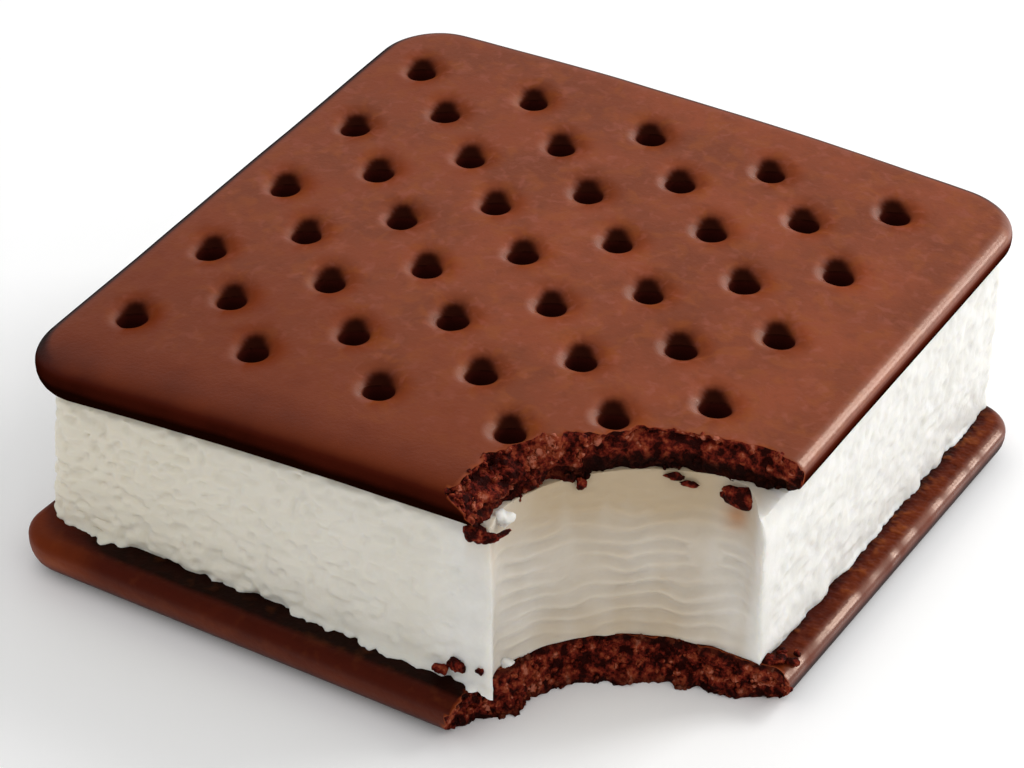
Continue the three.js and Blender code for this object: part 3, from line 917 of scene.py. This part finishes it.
# Its visible edge: painted shade makes the front ledge dark under the ice cream's foot; it is rusty on
# the right and at the left corner, and darker underneath, partly baked and partly painted shade. The
# wafer still lies with its pricked face up, so its front is towards +Y, and "low" is 0 at the plain
# face and 1 at the pricked one.
points = points_of(lower_wafer)
x, y, z = points.T
inset, facing = edge_of(points[:, :2], WAFER_SIDE, LOWER_RIM["corner radius"])
front, right = squarely(facing, 0, 1), squarely(facing, 1, 0)
low = z / WAFER_THICKNESS
near_rim = fade(inset, *LOWER_RIM_SHADE)
left_corner = fade(np.hypot(x + WAFER_SIDE / 2, y - WAFER_SIDE / 2), *LEFT_CORNER_REACH)
ledge = LEDGE_BAKED + LEDGE_SHADE_FRONT * front * (1 - left_corner) + LEDGE_BAKED_RIGHT * right
baked = ledge - SIDE_PALER * front * smooth(low, 0.1, 0.5)
baked += (1 - ledge) * smooth(low, 0.5 - 0.22 * right, 0.95 - 0.45 * right)
baked *= np.maximum(near_rim, fade(low, 0.02, 0.1))
worn = smooth(bumps(x, y, 0, 1, *SHINE_WORN), -0.5, 0.3)
pressed = right * fade(inset, *LOWER_SHINE_INSET) * fade(low, 0.2, 0.3)
satin = np.maximum(smooth(low, 0.9, 1) * (1 - near_rim), front * smooth(low, 0.1, 0.3))
gloss = DULL_GLOSS + SATIN_GLOSS * satin + RIM_GLOSS * pressed * (0.35 + 0.65 * worn)
set_number(lower_wafer, "gloss", gloss)
set_number(lower_wafer, "blistered", 0.7 * right * smooth(inset, 0.5, 1.3) + 0.1 * front)

# Turned over, moved to its place and bitten. Just beside the foot it is painted almost black, as
# painted shade.
plan = turn_plan(points[:, :2] * [1, -1] * LOWER_SCALE, LOWER_TURN) + LOWER_SHIFT
from_foot = turn_plan(plan - FOOT_CENTRE, -FOOT_TURN)
past_foot = -edge_of(from_foot, FOOT_SIDE, ICE_CREAM_CORNER_RADIUS)[0]
foot_shade_start, foot_shade_end = (
    at_right + (at_front - at_right) * front for at_right, at_front in zip(PAINTED_FOOT_SHADE_RIGHT, PAINTED_FOOT_SHADE_FRONT)
)
painted_foot_shade = fade(past_foot, foot_shade_start, foot_shade_end) * fade(low, 0.05, 0.2)
painted_foot_shade *= (PAINTED_FOOT_SHADE_DARKNESS + 0.15 * front) * (1 - 0.6 * left_corner)
set_number(lower_wafer, "baked", np.minimum(baked + painted_foot_shade, 1))
set_points(lower_wafer, np.column_stack([plan, WAFER_THICKNESS - z]))
tidy_mesh(lower_wafer.data)
bite_off(lower_wafer, bite_cutter(
    BITE_LOWER_UNDERSIDE, BITE_LOWER_FACE, 0, WAFER_THICKNESS, CRAG_STEP, lower_break,
))
points = points_of(lower_wafer)
x, y, z = points.T
set_number(lower_wafer, "crumbly", 0.25 + 0.75 * crumb_clusters(points))
set_number(lower_wafer, "torn", 0.55 * torn_patches(points))
under_foot = fade(WAFER_THICKNESS - z, *UNDER_FOOT_SHADE)
set_number(lower_wafer, "shaded", 0.7 * fade(z, *UNDERSIDE_SHADE) + 0.7 * under_foot)
set_points(lower_wafer, np.column_stack([x, y, z - pinch(x) * z / WAFER_THICKNESS]))
lower_crumb = crumb_piece("lower_crumb", lower_wafer, LOWER_CRUMB)
points = points_of(lower_crumb)
points[:, 2] = np.maximum(points[:, 2], 0)  # grains under the wafer are pressed flat
set_points(lower_crumb, points)
finish_piece(lower_wafer, "wafer_bottom", SKIN_SHARP)
finish_piece(lower_crumb, None, CRUMB_SHARP)

# ---------------------------------------------------------------------------------------------
# Ice cream
# A slab of vanilla ice cream, 17 mm thick, cut from a block and pressed between the wafers. It
# leans a little from the lower wafer to the upper one. Its foot has smeared out in ragged
# tongues, and the bite shows wavering furrows where teeth went through it.
# ---------------------------------------------------------------------------------------------

SINK = 0.08  # how far the slab reaches into each wafer, so that no gap shows
ICE_CREAM_THICKNESS = 17.1
HEAD_SIDE, HEAD_CENTRE = 72.0, np.array([1.1, -0.8])
SLAB_STEP = 0.33  # between points round the slab
SLAB_CORNER_STEPS = 14
SLAB_LAYER = 0.3  # between rings of points
SLAB_FACE_STEP = 1.6  # between points on the faces, which don't show
SLAB_BITE_STEP = 0.22
HEAD_MELT_HEIGHT = 0.9  # the upper edge has melted round
HEAD_MELT_WIDTH = 0.6

# Reliefs of the cut sides and of the bite: how deep, wide and high their bumps are, and which
# stretch of the relief they take.
SIDE_SWELL = (0.25, 14, 5)
SIDE_TORN = (0.1, 0.6, 0.5, 30)
SIDE_DRAG = (0.06, 5, 0.55, 11)
PIT_DEPTH = 0.34
PIT_SPOTS = (1, 0.9, 0.75)
SMEAR_REACH = 0.7  # the foot has crept out
SMEAR_HEIGHT = 3
SMEAR_SPOTS = (1, 3, 1, 4.5)
TONGUE_HEIGHT = 0.5  # and ends in short sharp tongues
TONGUE_SOLE = 0.1
TONGUES = ((0.7, 0.9, 1, 8.5), (0.6, 0.5, 1, 1.5), (1.1, 4.5, 1, 3))
TONGUES_SHORTEN = (28, 35)  # towards the right
BITE_SLAB_HEAD = (33, -36.4, 18.3, -1.2, -4.2)
BITE_SLAB_FOOT = (33.5, -39.5, 17.7, -2.6, 0.5)
FURROW_PITCH = 1.5
FURROW_DEPTH = 0.24
FURROW_WANDER = ((1.1, 7, 9), (0.4, 2.6, 3, 4))  # in pitches
FURROW_STRENGTH = (0.6, 4, 2, 8)
FURROW_TEARS = ((0.06, 1.6, 0.5), (0.04, 0.6, 0.4, 5))
FURROW_HOLLOW = (0.25, 6, 5, 2)
FURROW_SIDE_FADE = 6
STAIN_PLACE = np.array([32.4, -18.9, 18.1])
STAIN_SIZE = np.array([1.3, 1.5, 1.4])
BITTEN_STREAKS = (0.12, 1.4, 6)
UPPER_RISE = 0.03  # how fast the upper wafer rises to the back
UPPER_BEND = 0.00078  # how strongly two opposite corners droop
CREAM_PALE = "#e8e6e1"
CREAM_DEEP = "#dcdad4"
CREAM_FRONT_SHADE = "#e1dac9"  # painted shade on the front face
CREAM_BITE_SHADE = "#bfab8e"  # painted shade in the hollow of the bite
CREAM_STAINED = "#b17a48"
CREAM_SHARP = 60  # degrees

foot_z = WAFER_THICKNESS
head_z = WAFER_THICKNESS + ICE_CREAM_THICKNESS


def sag(x, y):
    """How far the upper wafer is lifted at a place in plan."""
    return UPPER_RISE * y - UPPER_BEND * x * (x + y)


def slab_side(ring, z):
    """How far the slab's cut side stands out: swellings, torn pits, drag marks and tongues."""
    x, y = ring.T
    crept = np.clip(1 - (z - foot_z) / SMEAR_HEIGHT, 0, 1)
    smear = SMEAR_REACH * crept * np.maximum(bumps(x, y, 0, *SMEAR_SPOTS), 0)
    teeth = sum(bumps(x, y, 0, *tongue) for tongue in TONGUES)
    reach = fade(z, foot_z + TONGUE_SOLE, foot_z + TONGUE_HEIGHT)
    reach = (1 - 0.7 * smooth(x, *TONGUES_SHORTEN)) * reach
    tongues = reach * np.maximum(teeth, -0.3)
    pitted = 0.5 + 0.5 * fade(x, -20, 15)
    pits = -PIT_DEPTH * pitted * smooth(bumps(x, y, z, *PIT_SPOTS), 0, 0.6)
    rough = sum(bumps(x, y, z, *size) for size in (SIDE_SWELL, SIDE_TORN, SIDE_DRAG))
    return smear + tongues + pits + rough


def slab_ring(z, inset):
    share = min(max((z - foot_z) / (head_z - foot_z), 0), 1)
    side = FOOT_SIDE + (HEAD_SIDE - FOOT_SIDE) * share
    centre = FOOT_CENTRE + (HEAD_CENTRE - FOOT_CENTRE) * share
    turn = FOOT_TURN * (1 - share)
    steps = round((FOOT_SIDE - 2 * ICE_CREAM_CORNER_RADIUS) / SLAB_STEP)
    ring = rounded_square(side, ICE_CREAM_CORNER_RADIUS, steps, SLAB_CORNER_STEPS)
    ring = ring + outline_normals(ring) * (slab_side(ring, z) - inset)[:, None]
    return np.column_stack([turn_plan(ring, turn) + centre, np.full(len(ring), z)])


def slab_block(name):
    low, high = foot_z - SINK, head_z + SINK
    heights = np.linspace(low, high, round((high - low) / SLAB_LAYER) + 1)
    heights = np.sort(np.append(heights, [foot_z + TONGUE_SOLE, foot_z + 0.35]))
    melted = HEAD_MELT_WIDTH * smooth(heights, high - HEAD_MELT_HEIGHT, high) ** 2
    rings = [slab_ring(z, inset) for z, inset in zip(heights, melted)]
    faces = stacked_faces(len(rings), len(rings[0]))
    total = len(rings) * len(rings[0])
    points = list(rings)
    for ring, z in ((rings[0], low), (rings[-1], high)):
        plan, triangles = fill_outline(ring[:, :2], SLAB_FACE_STEP)
        points.append(np.column_stack([plan, np.full(len(plan), z)]))
        faces.extend(tuple(t + total) for t in triangles)
        total += len(plan)
    return mesh_object(name, np.concatenate(points), faces)


def furrows(x, y, z, share, angle):
    """Wavering furrows that fade out under the upper wafer and towards the slab's sides."""
    wander = sum(bumps(x, y, z, *size) for size in FURROW_WANDER)
    wave = np.cos(2 * math.pi * (z / FURROW_PITCH + wander))
    from_side = np.minimum(FOOT_CENTRE[0] + FOOT_SIDE / 2 - x, y - FOOT_CENTRE[1] + FOOT_SIDE / 2)
    inner = smooth(from_side, 0, FURROW_SIDE_FADE)
    strength = FURROW_DEPTH * (0.7 + bumps(x, y, z, *FURROW_STRENGTH)) * fade(share, 0.62, 0.9)
    torn = sum(bumps(x, y, z, *size) for size in FURROW_TEARS)
    return inner * (strength * wave + bumps(x, y, z, *FURROW_HOLLOW)) + torn


def soften_edges(mesh, angle, middle, reach, above, rings, repeats):
    """Melts the sharp upright edges that a cut has left round a place, above a height."""
    work = bmesh.new()
    work.from_mesh(mesh)
    sharp = [
        edge for edge in work.edges
        if len(edge.link_faces) == 2
        and edge.calc_face_angle() > math.radians(angle)
        and min(v.co.z for v in edge.verts) > above
        and math.dist(edge.verts[0].co.xy, middle) < reach
        and abs(edge.verts[0].co.z - edge.verts[1].co.z) > 0.5 * edge.calc_length()
    ]
    near = {v for edge in sharp for v in edge.verts}
    for _ in range(rings):
        near |= {edge.other_vert(v) for v in near for edge in v.link_edges}
    near = sorted((v for v in near if above < v.co.z < head_z - 0.1), key=lambda v: v.index)
    for _ in range(repeats):
        bmesh.ops.smooth_vert(
            work, verts=near, factor=0.5, use_axis_x=True, use_axis_y=True, use_axis_z=False,
        )
    work.to_mesh(mesh)
    work.free()


def vanilla():
    """Frozen vanilla ice cream, churned and cut: milky cream white that lets light in a little
    way, with a soft wet gloss over finely torn pores."""
    material, tree, shader, place = new_material("vanilla ice cream, frozen and cut")
    cloud = add_node(tree, "ShaderNodeTexNoise", {
        "Vector": place, "Scale": pattern_scale(4), "Detail": 4.0, "Roughness": 0.6,
    })
    body = layered(tree, linear(CREAM_DEEP), cloud, [(0.35, 0.65, 1, CREAM_PALE)])
    # The front face and the bite take painted shade; a fallen crumb leaves a stain.
    marks = numbers_of(tree, "painted_front_shade", "painted_bite_shade", "stained")
    for mark, tone in zip(marks, (CREAM_FRONT_SHADE, CREAM_BITE_SHADE, CREAM_STAINED)):
        body = layered(tree, body, mark, [(0, 1, 1, tone)])
    tree.links.new(body.outputs["Result"], shader.inputs["Base Color"])
    shader.inputs["Subsurface Weight"].default_value = 0.5
    shader.inputs["Subsurface Radius"].default_value = (1.0, 0.85, 0.6)
    shader.inputs["Subsurface Scale"].default_value = 1.0 * MM
    shader.inputs["IOR"].default_value = 1.34
    shader.inputs["Roughness"].default_value = 0.5
    pores = add_node(tree, "ShaderNodeTexNoise", {
        "Vector": place, "Scale": pattern_scale(0.5), "Detail": 3.0, "Roughness": 0.65,
    })
    bump = add_node(tree, "ShaderNodeBump", {"Strength": 0.3, "Distance": 0.15 * MM, "Height": pores})
    tree.links.new(bump.outputs[0], shader.inputs["Normal"])
    return material


ice_cream = slab_block("vanilla_slab")
cut(ice_cream, bite_cutter(
    BITE_SLAB_FOOT, BITE_SLAB_HEAD, foot_z - SINK, head_z + SINK, SLAB_BITE_STEP, furrows,
))
soften_edges(
    ice_cream.data, angle=28, middle=BITE_SLAB_FOOT[:2], reach=BITE_SLAB_FOOT[2] + 3,
    above=foot_z + 0.6, rings=8, repeats=40,
)
points = points_of(ice_cream)
x, y, z = points.T
share = np.clip((z - foot_z) / (head_z - foot_z), 0, 1)
points = np.column_stack([x, y, z + (sag(x, y) * share + pinch(x) * (2 * share - 1))])
set_points(ice_cream, points)

# The bite's wall is painted darker and warmer than the cut sides, as painted shade in the hollow of
# the bite, most of all at its head under the upper wafer and at its foot, with random streaks.
bitten_corner = HEAD_CENTRE + [HEAD_SIDE / 2, -HEAD_SIDE / 2]
from_right, from_front = bitten_corner[0] - x, y - bitten_corner[1]
bite_x, bite_y, bite_radius = (
    (1 - share) * low + share * high for low, high in zip(BITE_SLAB_FOOT[:3], BITE_SLAB_HEAD[:3])
)
in_bite = fade(np.hypot(x - bite_x, y - bite_y) - bite_radius, 1.0, 1.8)
in_bite *= smooth(np.minimum(from_right, from_front + 1.5), 0.6, 2.6)
in_bite *= 0.55 + 0.45 * smooth(np.minimum(from_right, from_front), 2, 11)
streaks = bumps(x, y, points[:, 2], *BITTEN_STREAKS)
ends = 0.5 * smooth(share, 0.55, 0.9) + 0.22 * fade(share, 0.05, 0.3)
set_number(ice_cream, "painted_bite_shade", in_bite * (0.58 + streaks + ends))
# The front face is painted darker and warmer, as painted shade, most of all towards the left.
painted_front_shade = 1 - 0.45 * smooth(x, -30, 8) - 0.5 * smooth(x, 8, 15)
set_number(ice_cream, "painted_front_shade", painted_front_shade * fade(from_front, 0.5, 2.0))
# A fallen crumb has run into the wall of the bite on the right.
stain = ((points - STAIN_PLACE) / STAIN_SIZE) ** 2
set_number(ice_cream, "stained", 0.8 * np.exp(-stain.sum(1)))
ice_cream.data.materials.clear()
ice_cream_finish = vanilla()
ice_cream.data.materials.append(ice_cream_finish)
finish_piece(ice_cream, "ice_cream", CREAM_SHARP)

# ---------------------------------------------------------------------------------------------
# Upper wafer
# The same biscuit with the pricked face up. It has softened on the ice cream, so two opposite
# corners droop, and it lies a little higher at the back. The bite has gone deeper into it, and
# its skin has peeled up in a lip over part of the break.
# ---------------------------------------------------------------------------------------------

UPPER_RIM = {
    "corner radius": 7,
    "waist": 3,
    "plain roll": 3.8,
    "pricked roll": 2.4,
    "front roll": 3.3,
    "right roll": 1.5,
}
UPPER_HOLE_CENTRE = np.array([-2.1, 0.55])
BITE_UPPER_FACE = (33, -36, 18.3, 0, 0.6)
BITE_UPPER_UNDERSIDE = (33, -36, 18.7, 0, 1.5)
LIP_START = (90, 97)  # degrees about the bite's centre
LIP_END = (122, 132)
LIP_THICKNESS = 0.45
TERRACE_FOOT = (2.7, 3.3)  # how far down the smooth slope under the lip ends
FLAKE_ANGLES = (140, 158)  # where a flake of the skin has broken off at the front
FLAKE_WIDTH = 2.0
FLAKE_HEIGHTS = (0.3, 3.2)
FLAKE_CRUMB = ((0.75, 1.9, 1.5), (0.35, 0.9, 0.7))
UPPER_RIM_SHADE = (3.0, 4.5)
TURNED_SHADE_INSET = (0.8, 1.7)
UPPER_SHINE_INSET = (0.8, 1.6)
FACE_GLOSS = 0.16
UPPER_RIM_GLOSS = 0.66
POLISHED_SIDE = np.array([-0.87, -0.49])  # the way from a hole to the polished side of its lip
POLISHED_REACH = (1.6, 1.8, 2.1, 2.8)  # where the polish starts, is full, fades, and has gone
POLISHED_GLOSS = 1.1
DULL_REACH = (2.5, 4.5)
WAVE_LENGTH = 15  # of the baked face
WAVE_HEIGHT = 0.1
upper_z = head_z


def upper_angle(x, y):
    """The direction of a place from the middle of the upper bite, in degrees."""
    return np.degrees(np.arctan2(y - BITE_UPPER_FACE[1], x - BITE_UPPER_FACE[0])) % 360


def lip_share(angle):
    return smooth(angle, *LIP_START) * fade(angle, *LIP_END)


def terrace_share(x, y, z):
    """Where the break is a smooth slope under the lip instead of crumb, from 0 to 1."""
    deep = upper_z + WAFER_THICKNESS - z
    return lip_share(upper_angle(x, y)) * smooth(deep, 0.6, 1.0) * fade(deep, *TERRACE_FOOT)


def upper_break(x, y, z, share, angle):
    """Crags, with a groove under the lip and a slope below it."""
    crag, crumb = crags(x, y, z)
    lip = lip_share(angle)
    deep = (1 - share) * WAFER_THICKNESS
    groove = 0.5 * lip * np.exp(-(((deep - LIP_THICKNESS - 0.3) / 0.25) ** 2))
    slope = -0.45 * smooth(deep, 0.9, 3.5)
    # At the front a flake of the skin has broken off and left a slope of coarse crumb.
    flake = FLAKE_WIDTH * smooth(angle, *FLAKE_ANGLES) * fade(deep, *FLAKE_HEIGHTS)
    flake += smooth(angle, 128, 145) * sum(bumps(x, y, z, *size) for size in FLAKE_CRUMB)
    terrace = lip * (smooth(deep, 0, 0.2) - smooth(deep, *TERRACE_FOOT))
    return crag * (1 - 0.4 * lip) + crumb * (1 - 0.55 * terrace) + groove + slope + flake


def undulate(points, wavelength, amount):
    """Adds the slight waviness of a baked face to heights."""
    x, y = points[:, 0] / wavelength, points[:, 1] / wavelength
    points[:, 2] += amount * (relief(x, y, 2.5) + 0.5 * relief(2.5 * x, 2.5 * y, 5.5))


upper_wafer = pricked_wafer("upper_wafer", UPPER_RIM, UPPER_HOLE_CENTRE)

# Its edge: the rim is darker below, partly baked and partly painted shade, nearly black at the bottom,
# and has a sheen on the right. "low" is 0 at the pricked face and 1 at the plain one.
points = points_of(upper_wafer)
x, y, z = points.T
inset, facing = edge_of(points[:, :2], WAFER_SIDE, UPPER_RIM["corner radius"])
right = squarely(facing, 1, 0)
near_rim = fade(inset, *UPPER_RIM_SHADE)
low = 1 - z / WAFER_THICKNESS
start = 0.02 + 0.1 * right
baked = 0.6 * smooth(low, start, start + 0.25) + 0.4 * smooth(low, 0.3, 0.6)
# A thin line of painted shade, nearly black, runs where the left and back sides turn down.
turned = (squarely(facing, -1, 0) + 0.8 * squarely(facing, 0, 1)) * fade(inset, *TURNED_SHADE_INSET)
baked = np.maximum(baked, turned)
# The face is painted a little darker towards the front and the left, as painted shade.
from_front = y + WAFER_SIDE / 2
painted_face_shade = 0.16 * fade(from_front, 1.5, 8) + 0.14 * fade(from_front, 4, 38) + 0.11 * fade(x, -38, 20)
set_number(upper_wafer, "baked", near_rim * baked + painted_face_shade * (1 - baked))
gloss = FACE_GLOSS * (1 - near_rim * smooth(low, 0.02, 0.2) * (1 - right)) * (1 - turned)
pressed = right * fade(inset, *UPPER_SHINE_INSET) * fade(low, 0.16, 0.26)
gloss += UPPER_RIM_GLOSS * pressed - FACE_GLOSS * near_rim * right * smooth(low, 0.2, 0.3)
# The pins have polished one side of each hole's lip, most of all towards the right, and rubbed
# the rest of it dull. There is no gloss inside the holes.
from_hole = points[:, None, :2] - np.array(hole_places(UPPER_HOLE_CENTRE))[None]
reach = np.linalg.norm(from_hole, axis=2)
nearest = np.arange(len(points)), np.argmin(reach, axis=1)
reach, polished = reach[nearest], from_hole[nearest] @ POLISHED_SIDE / reach[nearest]
lip = smooth(reach, *POLISHED_REACH[:2]) * fade(reach, *POLISHED_REACH[2:])
lip = lip * smooth(polished, 0.6, 0.95)
lip *= 0.35 + 0.65 * smooth(x, -15, 10)
dull = fade(reach, *DULL_REACH) * fade(polished, 0.2, 0.5)
dimple = np.zeros(len(points))
upper_wafer.data.attributes["dimple"].data.foreach_get("value", dimple)
gloss = (gloss + POLISHED_GLOSS * lip) * (1 - dull) * fade(dimple / HOLE_DIMPLE_DEPTH, 0.45, 0.75)
set_number(upper_wafer, "gloss", np.maximum(gloss, 0))

# Laid on the ice cream and bitten.
set_points(upper_wafer, points + [*UPPER_SHIFT, upper_z])
bite_off(upper_wafer, bite_cutter(
    BITE_UPPER_UNDERSIDE, BITE_UPPER_FACE, upper_z, upper_z + WAFER_THICKNESS, CRAG_STEP, upper_break,
))
points = points_of(upper_wafer)
x, y, z = points.T
terrace = terrace_share(x, y, z)
angle = upper_angle(x, y)
high = (z - upper_z) / WAFER_THICKNESS
crumbly = (1 - terrace) * (0.3 + 0.7 * smooth(angle, 128, 150)) * crumb_clusters(points)
shaded = 0.9 * fade(high, 0.25, 0.5) * (1 - 0.6 * smooth(angle, 140, 155))
set_number(upper_wafer, "crumbly", crumbly)
set_number(upper_wafer, "torn", torn_patches(points) * (1 - 0.7 * terrace) * smooth(high, 0.35, 0.7))
set_number(upper_wafer, "shaded", shaded)
points = np.column_stack([x, y, z + sag(x, y) + pinch(x) * (1 - high)])
undulate(points, WAVE_LENGTH, WAVE_HEIGHT)
set_points(upper_wafer, points)
upper_crumb = crumb_piece("upper_crumb", upper_wafer, CRUMB)
finish_piece(upper_wafer, "wafer_top", SKIN_SHARP)
finish_piece(upper_crumb, None, CRUMB_SHARP)

# ---------------------------------------------------------------------------------------------
# Loose crumbs
# Bits that the bite has broken off: chocolate crumbs and slivers that hang from the upper wafer
# or have dropped on the ice cream's foot, and lumps of ice cream that stick to the wafers.
# ---------------------------------------------------------------------------------------------

# Middle x, y and z, half the length, width and height, and the turn in degrees about upright.
CHOCOLATE_CRUMBS = (
    (32.7, -18.9, 20.3, 2.1, 0.8, 1.0, 5),
    (26.3, -19.9, 21.0, 0.9, 0.35, 0.4, 20),
    (27.5, -19.5, 20.4, 0.9, 0.3, 0.35, 20),
    (19.15, -25.4, 20.9, 0.5, 0.45, 0.9, 0),
    (14.5, -36.9, 20.4, 1.0, 0.6, 0.9, 0),
    (15.6, -36.5, 20.1, 0.9, 0.5, 0.5, 30),
    (16.1, -34.9, 19.8, 1.2, 0.35, 0.3, 75),
    (13.8, -39.0, 6.3, 0.8, 0.5, 0.7, 0),
    (16.2, -38.9, 6.5, 0.4, 0.3, 0.35, 0),
    (12.2, -39.4, 5.5, 0.7, 0.5, 0.5, 20),
    (37.4, -20.8, 4.3, 0.9, 0.6, 0.45, 30),
    (38.4, -20.2, 4.3, 0.8, 0.6, 0.45, 80),
    (39.5, -19.7, 4.1, 0.7, 0.5, 0.45, 10),
    (38.0, -18.9, 4.3, 0.5, 0.4, 0.35, 50),
    (39.3, -18.3, 4.2, 0.4, 0.35, 0.3, 0),
)
ICE_CREAM_LUMPS = (
    (15.4, -33.5, 20.4, 1.1, 1.0, 0.9, 20),
    (16.6, -34.6, 4.9, 0.6, 0.6, 0.5, 0),
)
LUMP_UNEVENNESS = 0.45


def craggy_lumps(name, places):
    """Craggy lumps, each of a shape of its own, in one mesh."""
    work = bmesh.new()
    for x, y, z, length, width, height, degrees in places:
        made = bmesh.ops.create_icosphere(work, subdivisions=3, radius=1)["verts"]
        at = np.array([v.co for v in made])
        # A large swelling and a finer one, which each lump takes from its own stretch of relief.
        swell = relief(*(at * 1.3 + [x, y, z]).T) + 0.5 * relief(*(at * 3 + [x, y, z]).T)
        at = at * (1 + LUMP_UNEVENNESS * swell)[:, None] * [length, width, height]
        at[:, :2] = turn_plan(at[:, :2], math.radians(degrees))
        for vert, place in zip(made, at + [x, y, z]):
            vert.co = place
    mesh = bpy.data.meshes.new(name)
    work.to_mesh(mesh)
    work.free()
    return in_scene(name, mesh)


chocolate_crumbs = craggy_lumps("chocolate_crumbs", CHOCOLATE_CRUMBS)
chocolate_crumbs.data.materials.append(crumb_finish)
finish_piece(chocolate_crumbs, None, CRUMB_SHARP)
ice_cream_lumps = craggy_lumps("ice_cream_lumps", ICE_CREAM_LUMPS)
ice_cream_lumps.data.materials.append(ice_cream_finish)
finish_piece(ice_cream_lumps, None, CRUMB_SHARP)

# ---------------------------------------------------------------------------------------------
# Table, light and camera
# The sandwich lies on a sheet of white card in a bright room. Two small soft lights on its right
# draw the shine along the wafers' right rims, and the camera looks at the bitten corner.
# ---------------------------------------------------------------------------------------------

TABLE_REACH = 3  # metres to each side
TABLE_DROP = 0.00002  # keeps the card's face and the lower wafer's underside apart

WHITE = "#ffffff"
ROOM_BRIGHTNESS = 0.78
SANDWICH_MIDDLE = Vector((0, 0, 0.014))

floor = mesh_object(
    "table",
    [(x * TABLE_REACH, y * TABLE_REACH, -TABLE_DROP) for x, y in ((-1, -1), (1, -1), (1, 1), (-1, 1))],
    [(0, 1, 2, 3)],
)
card_finish, _, shader, _ = new_material("white card")
shader.inputs["Base Color"].default_value = linear(WHITE)
shader.inputs["Roughness"].default_value = 0.9
floor.data.materials.append(card_finish)

world = bpy.data.worlds.new("soft white room")
world.use_nodes = True
background = world.node_tree.nodes["Background"]
background.inputs["Color"].default_value = linear(WHITE)
background.inputs["Strength"].default_value = ROOM_BRIGHTNESS
bpy.context.scene.world = world


def softbox(name, azimuth, elevation, distance, size, power):
    """A square soft light aimed at the sandwich. Angles are in degrees, from +X towards +Y."""
    turn, rise = math.radians(azimuth), math.radians(elevation)
    aim = Vector((math.cos(rise) * math.cos(turn), math.cos(rise) * math.sin(turn), math.sin(rise)))
    light = bpy.data.lights.new(name, "AREA")
    light.shape = "SQUARE"
    light.size = size
    light.energy = power
    lamp = in_scene(name, light)
    lamp.location = SANDWICH_MIDDLE + aim * distance
    lamp.rotation_euler = aim.to_track_quat("Z", "Y").to_euler()


softbox("key softbox", 57, 38, 0.6, 0.22, 1.2)
softbox("low softbox", 50, 18, 1.0, 0.3, 2.6)

LENS = 110.74
CAMERA_PLACE = (0.131055, -0.236635, 0.190026)
CAMERA_AZIMUTH = 29.565  # degrees round from looking along +Y
CAMERA_ELEVATION = 33.155
CAMERA_ROLL = 0.94
CAMERA_NEAREST = 0.01  # it draws nothing closer than this

camera = in_scene("camera", bpy.data.cameras.new("camera"))
camera.data.lens = LENS
camera.data.clip_start = CAMERA_NEAREST
azimuth, elevation, roll = (math.radians(a) for a in (CAMERA_AZIMUTH, CAMERA_ELEVATION, CAMERA_ROLL))
aimed = Matrix.Rotation(azimuth, 4, "Z") @ Matrix.Rotation(math.pi / 2 - elevation, 4, "X")
camera.matrix_world = Matrix.Translation(CAMERA_PLACE) @ aimed @ Matrix.Rotation(roll, 4, "Z")
bpy.context.scene.camera = camera
bpy.context.scene.view_settings.view_transform = "Standard"
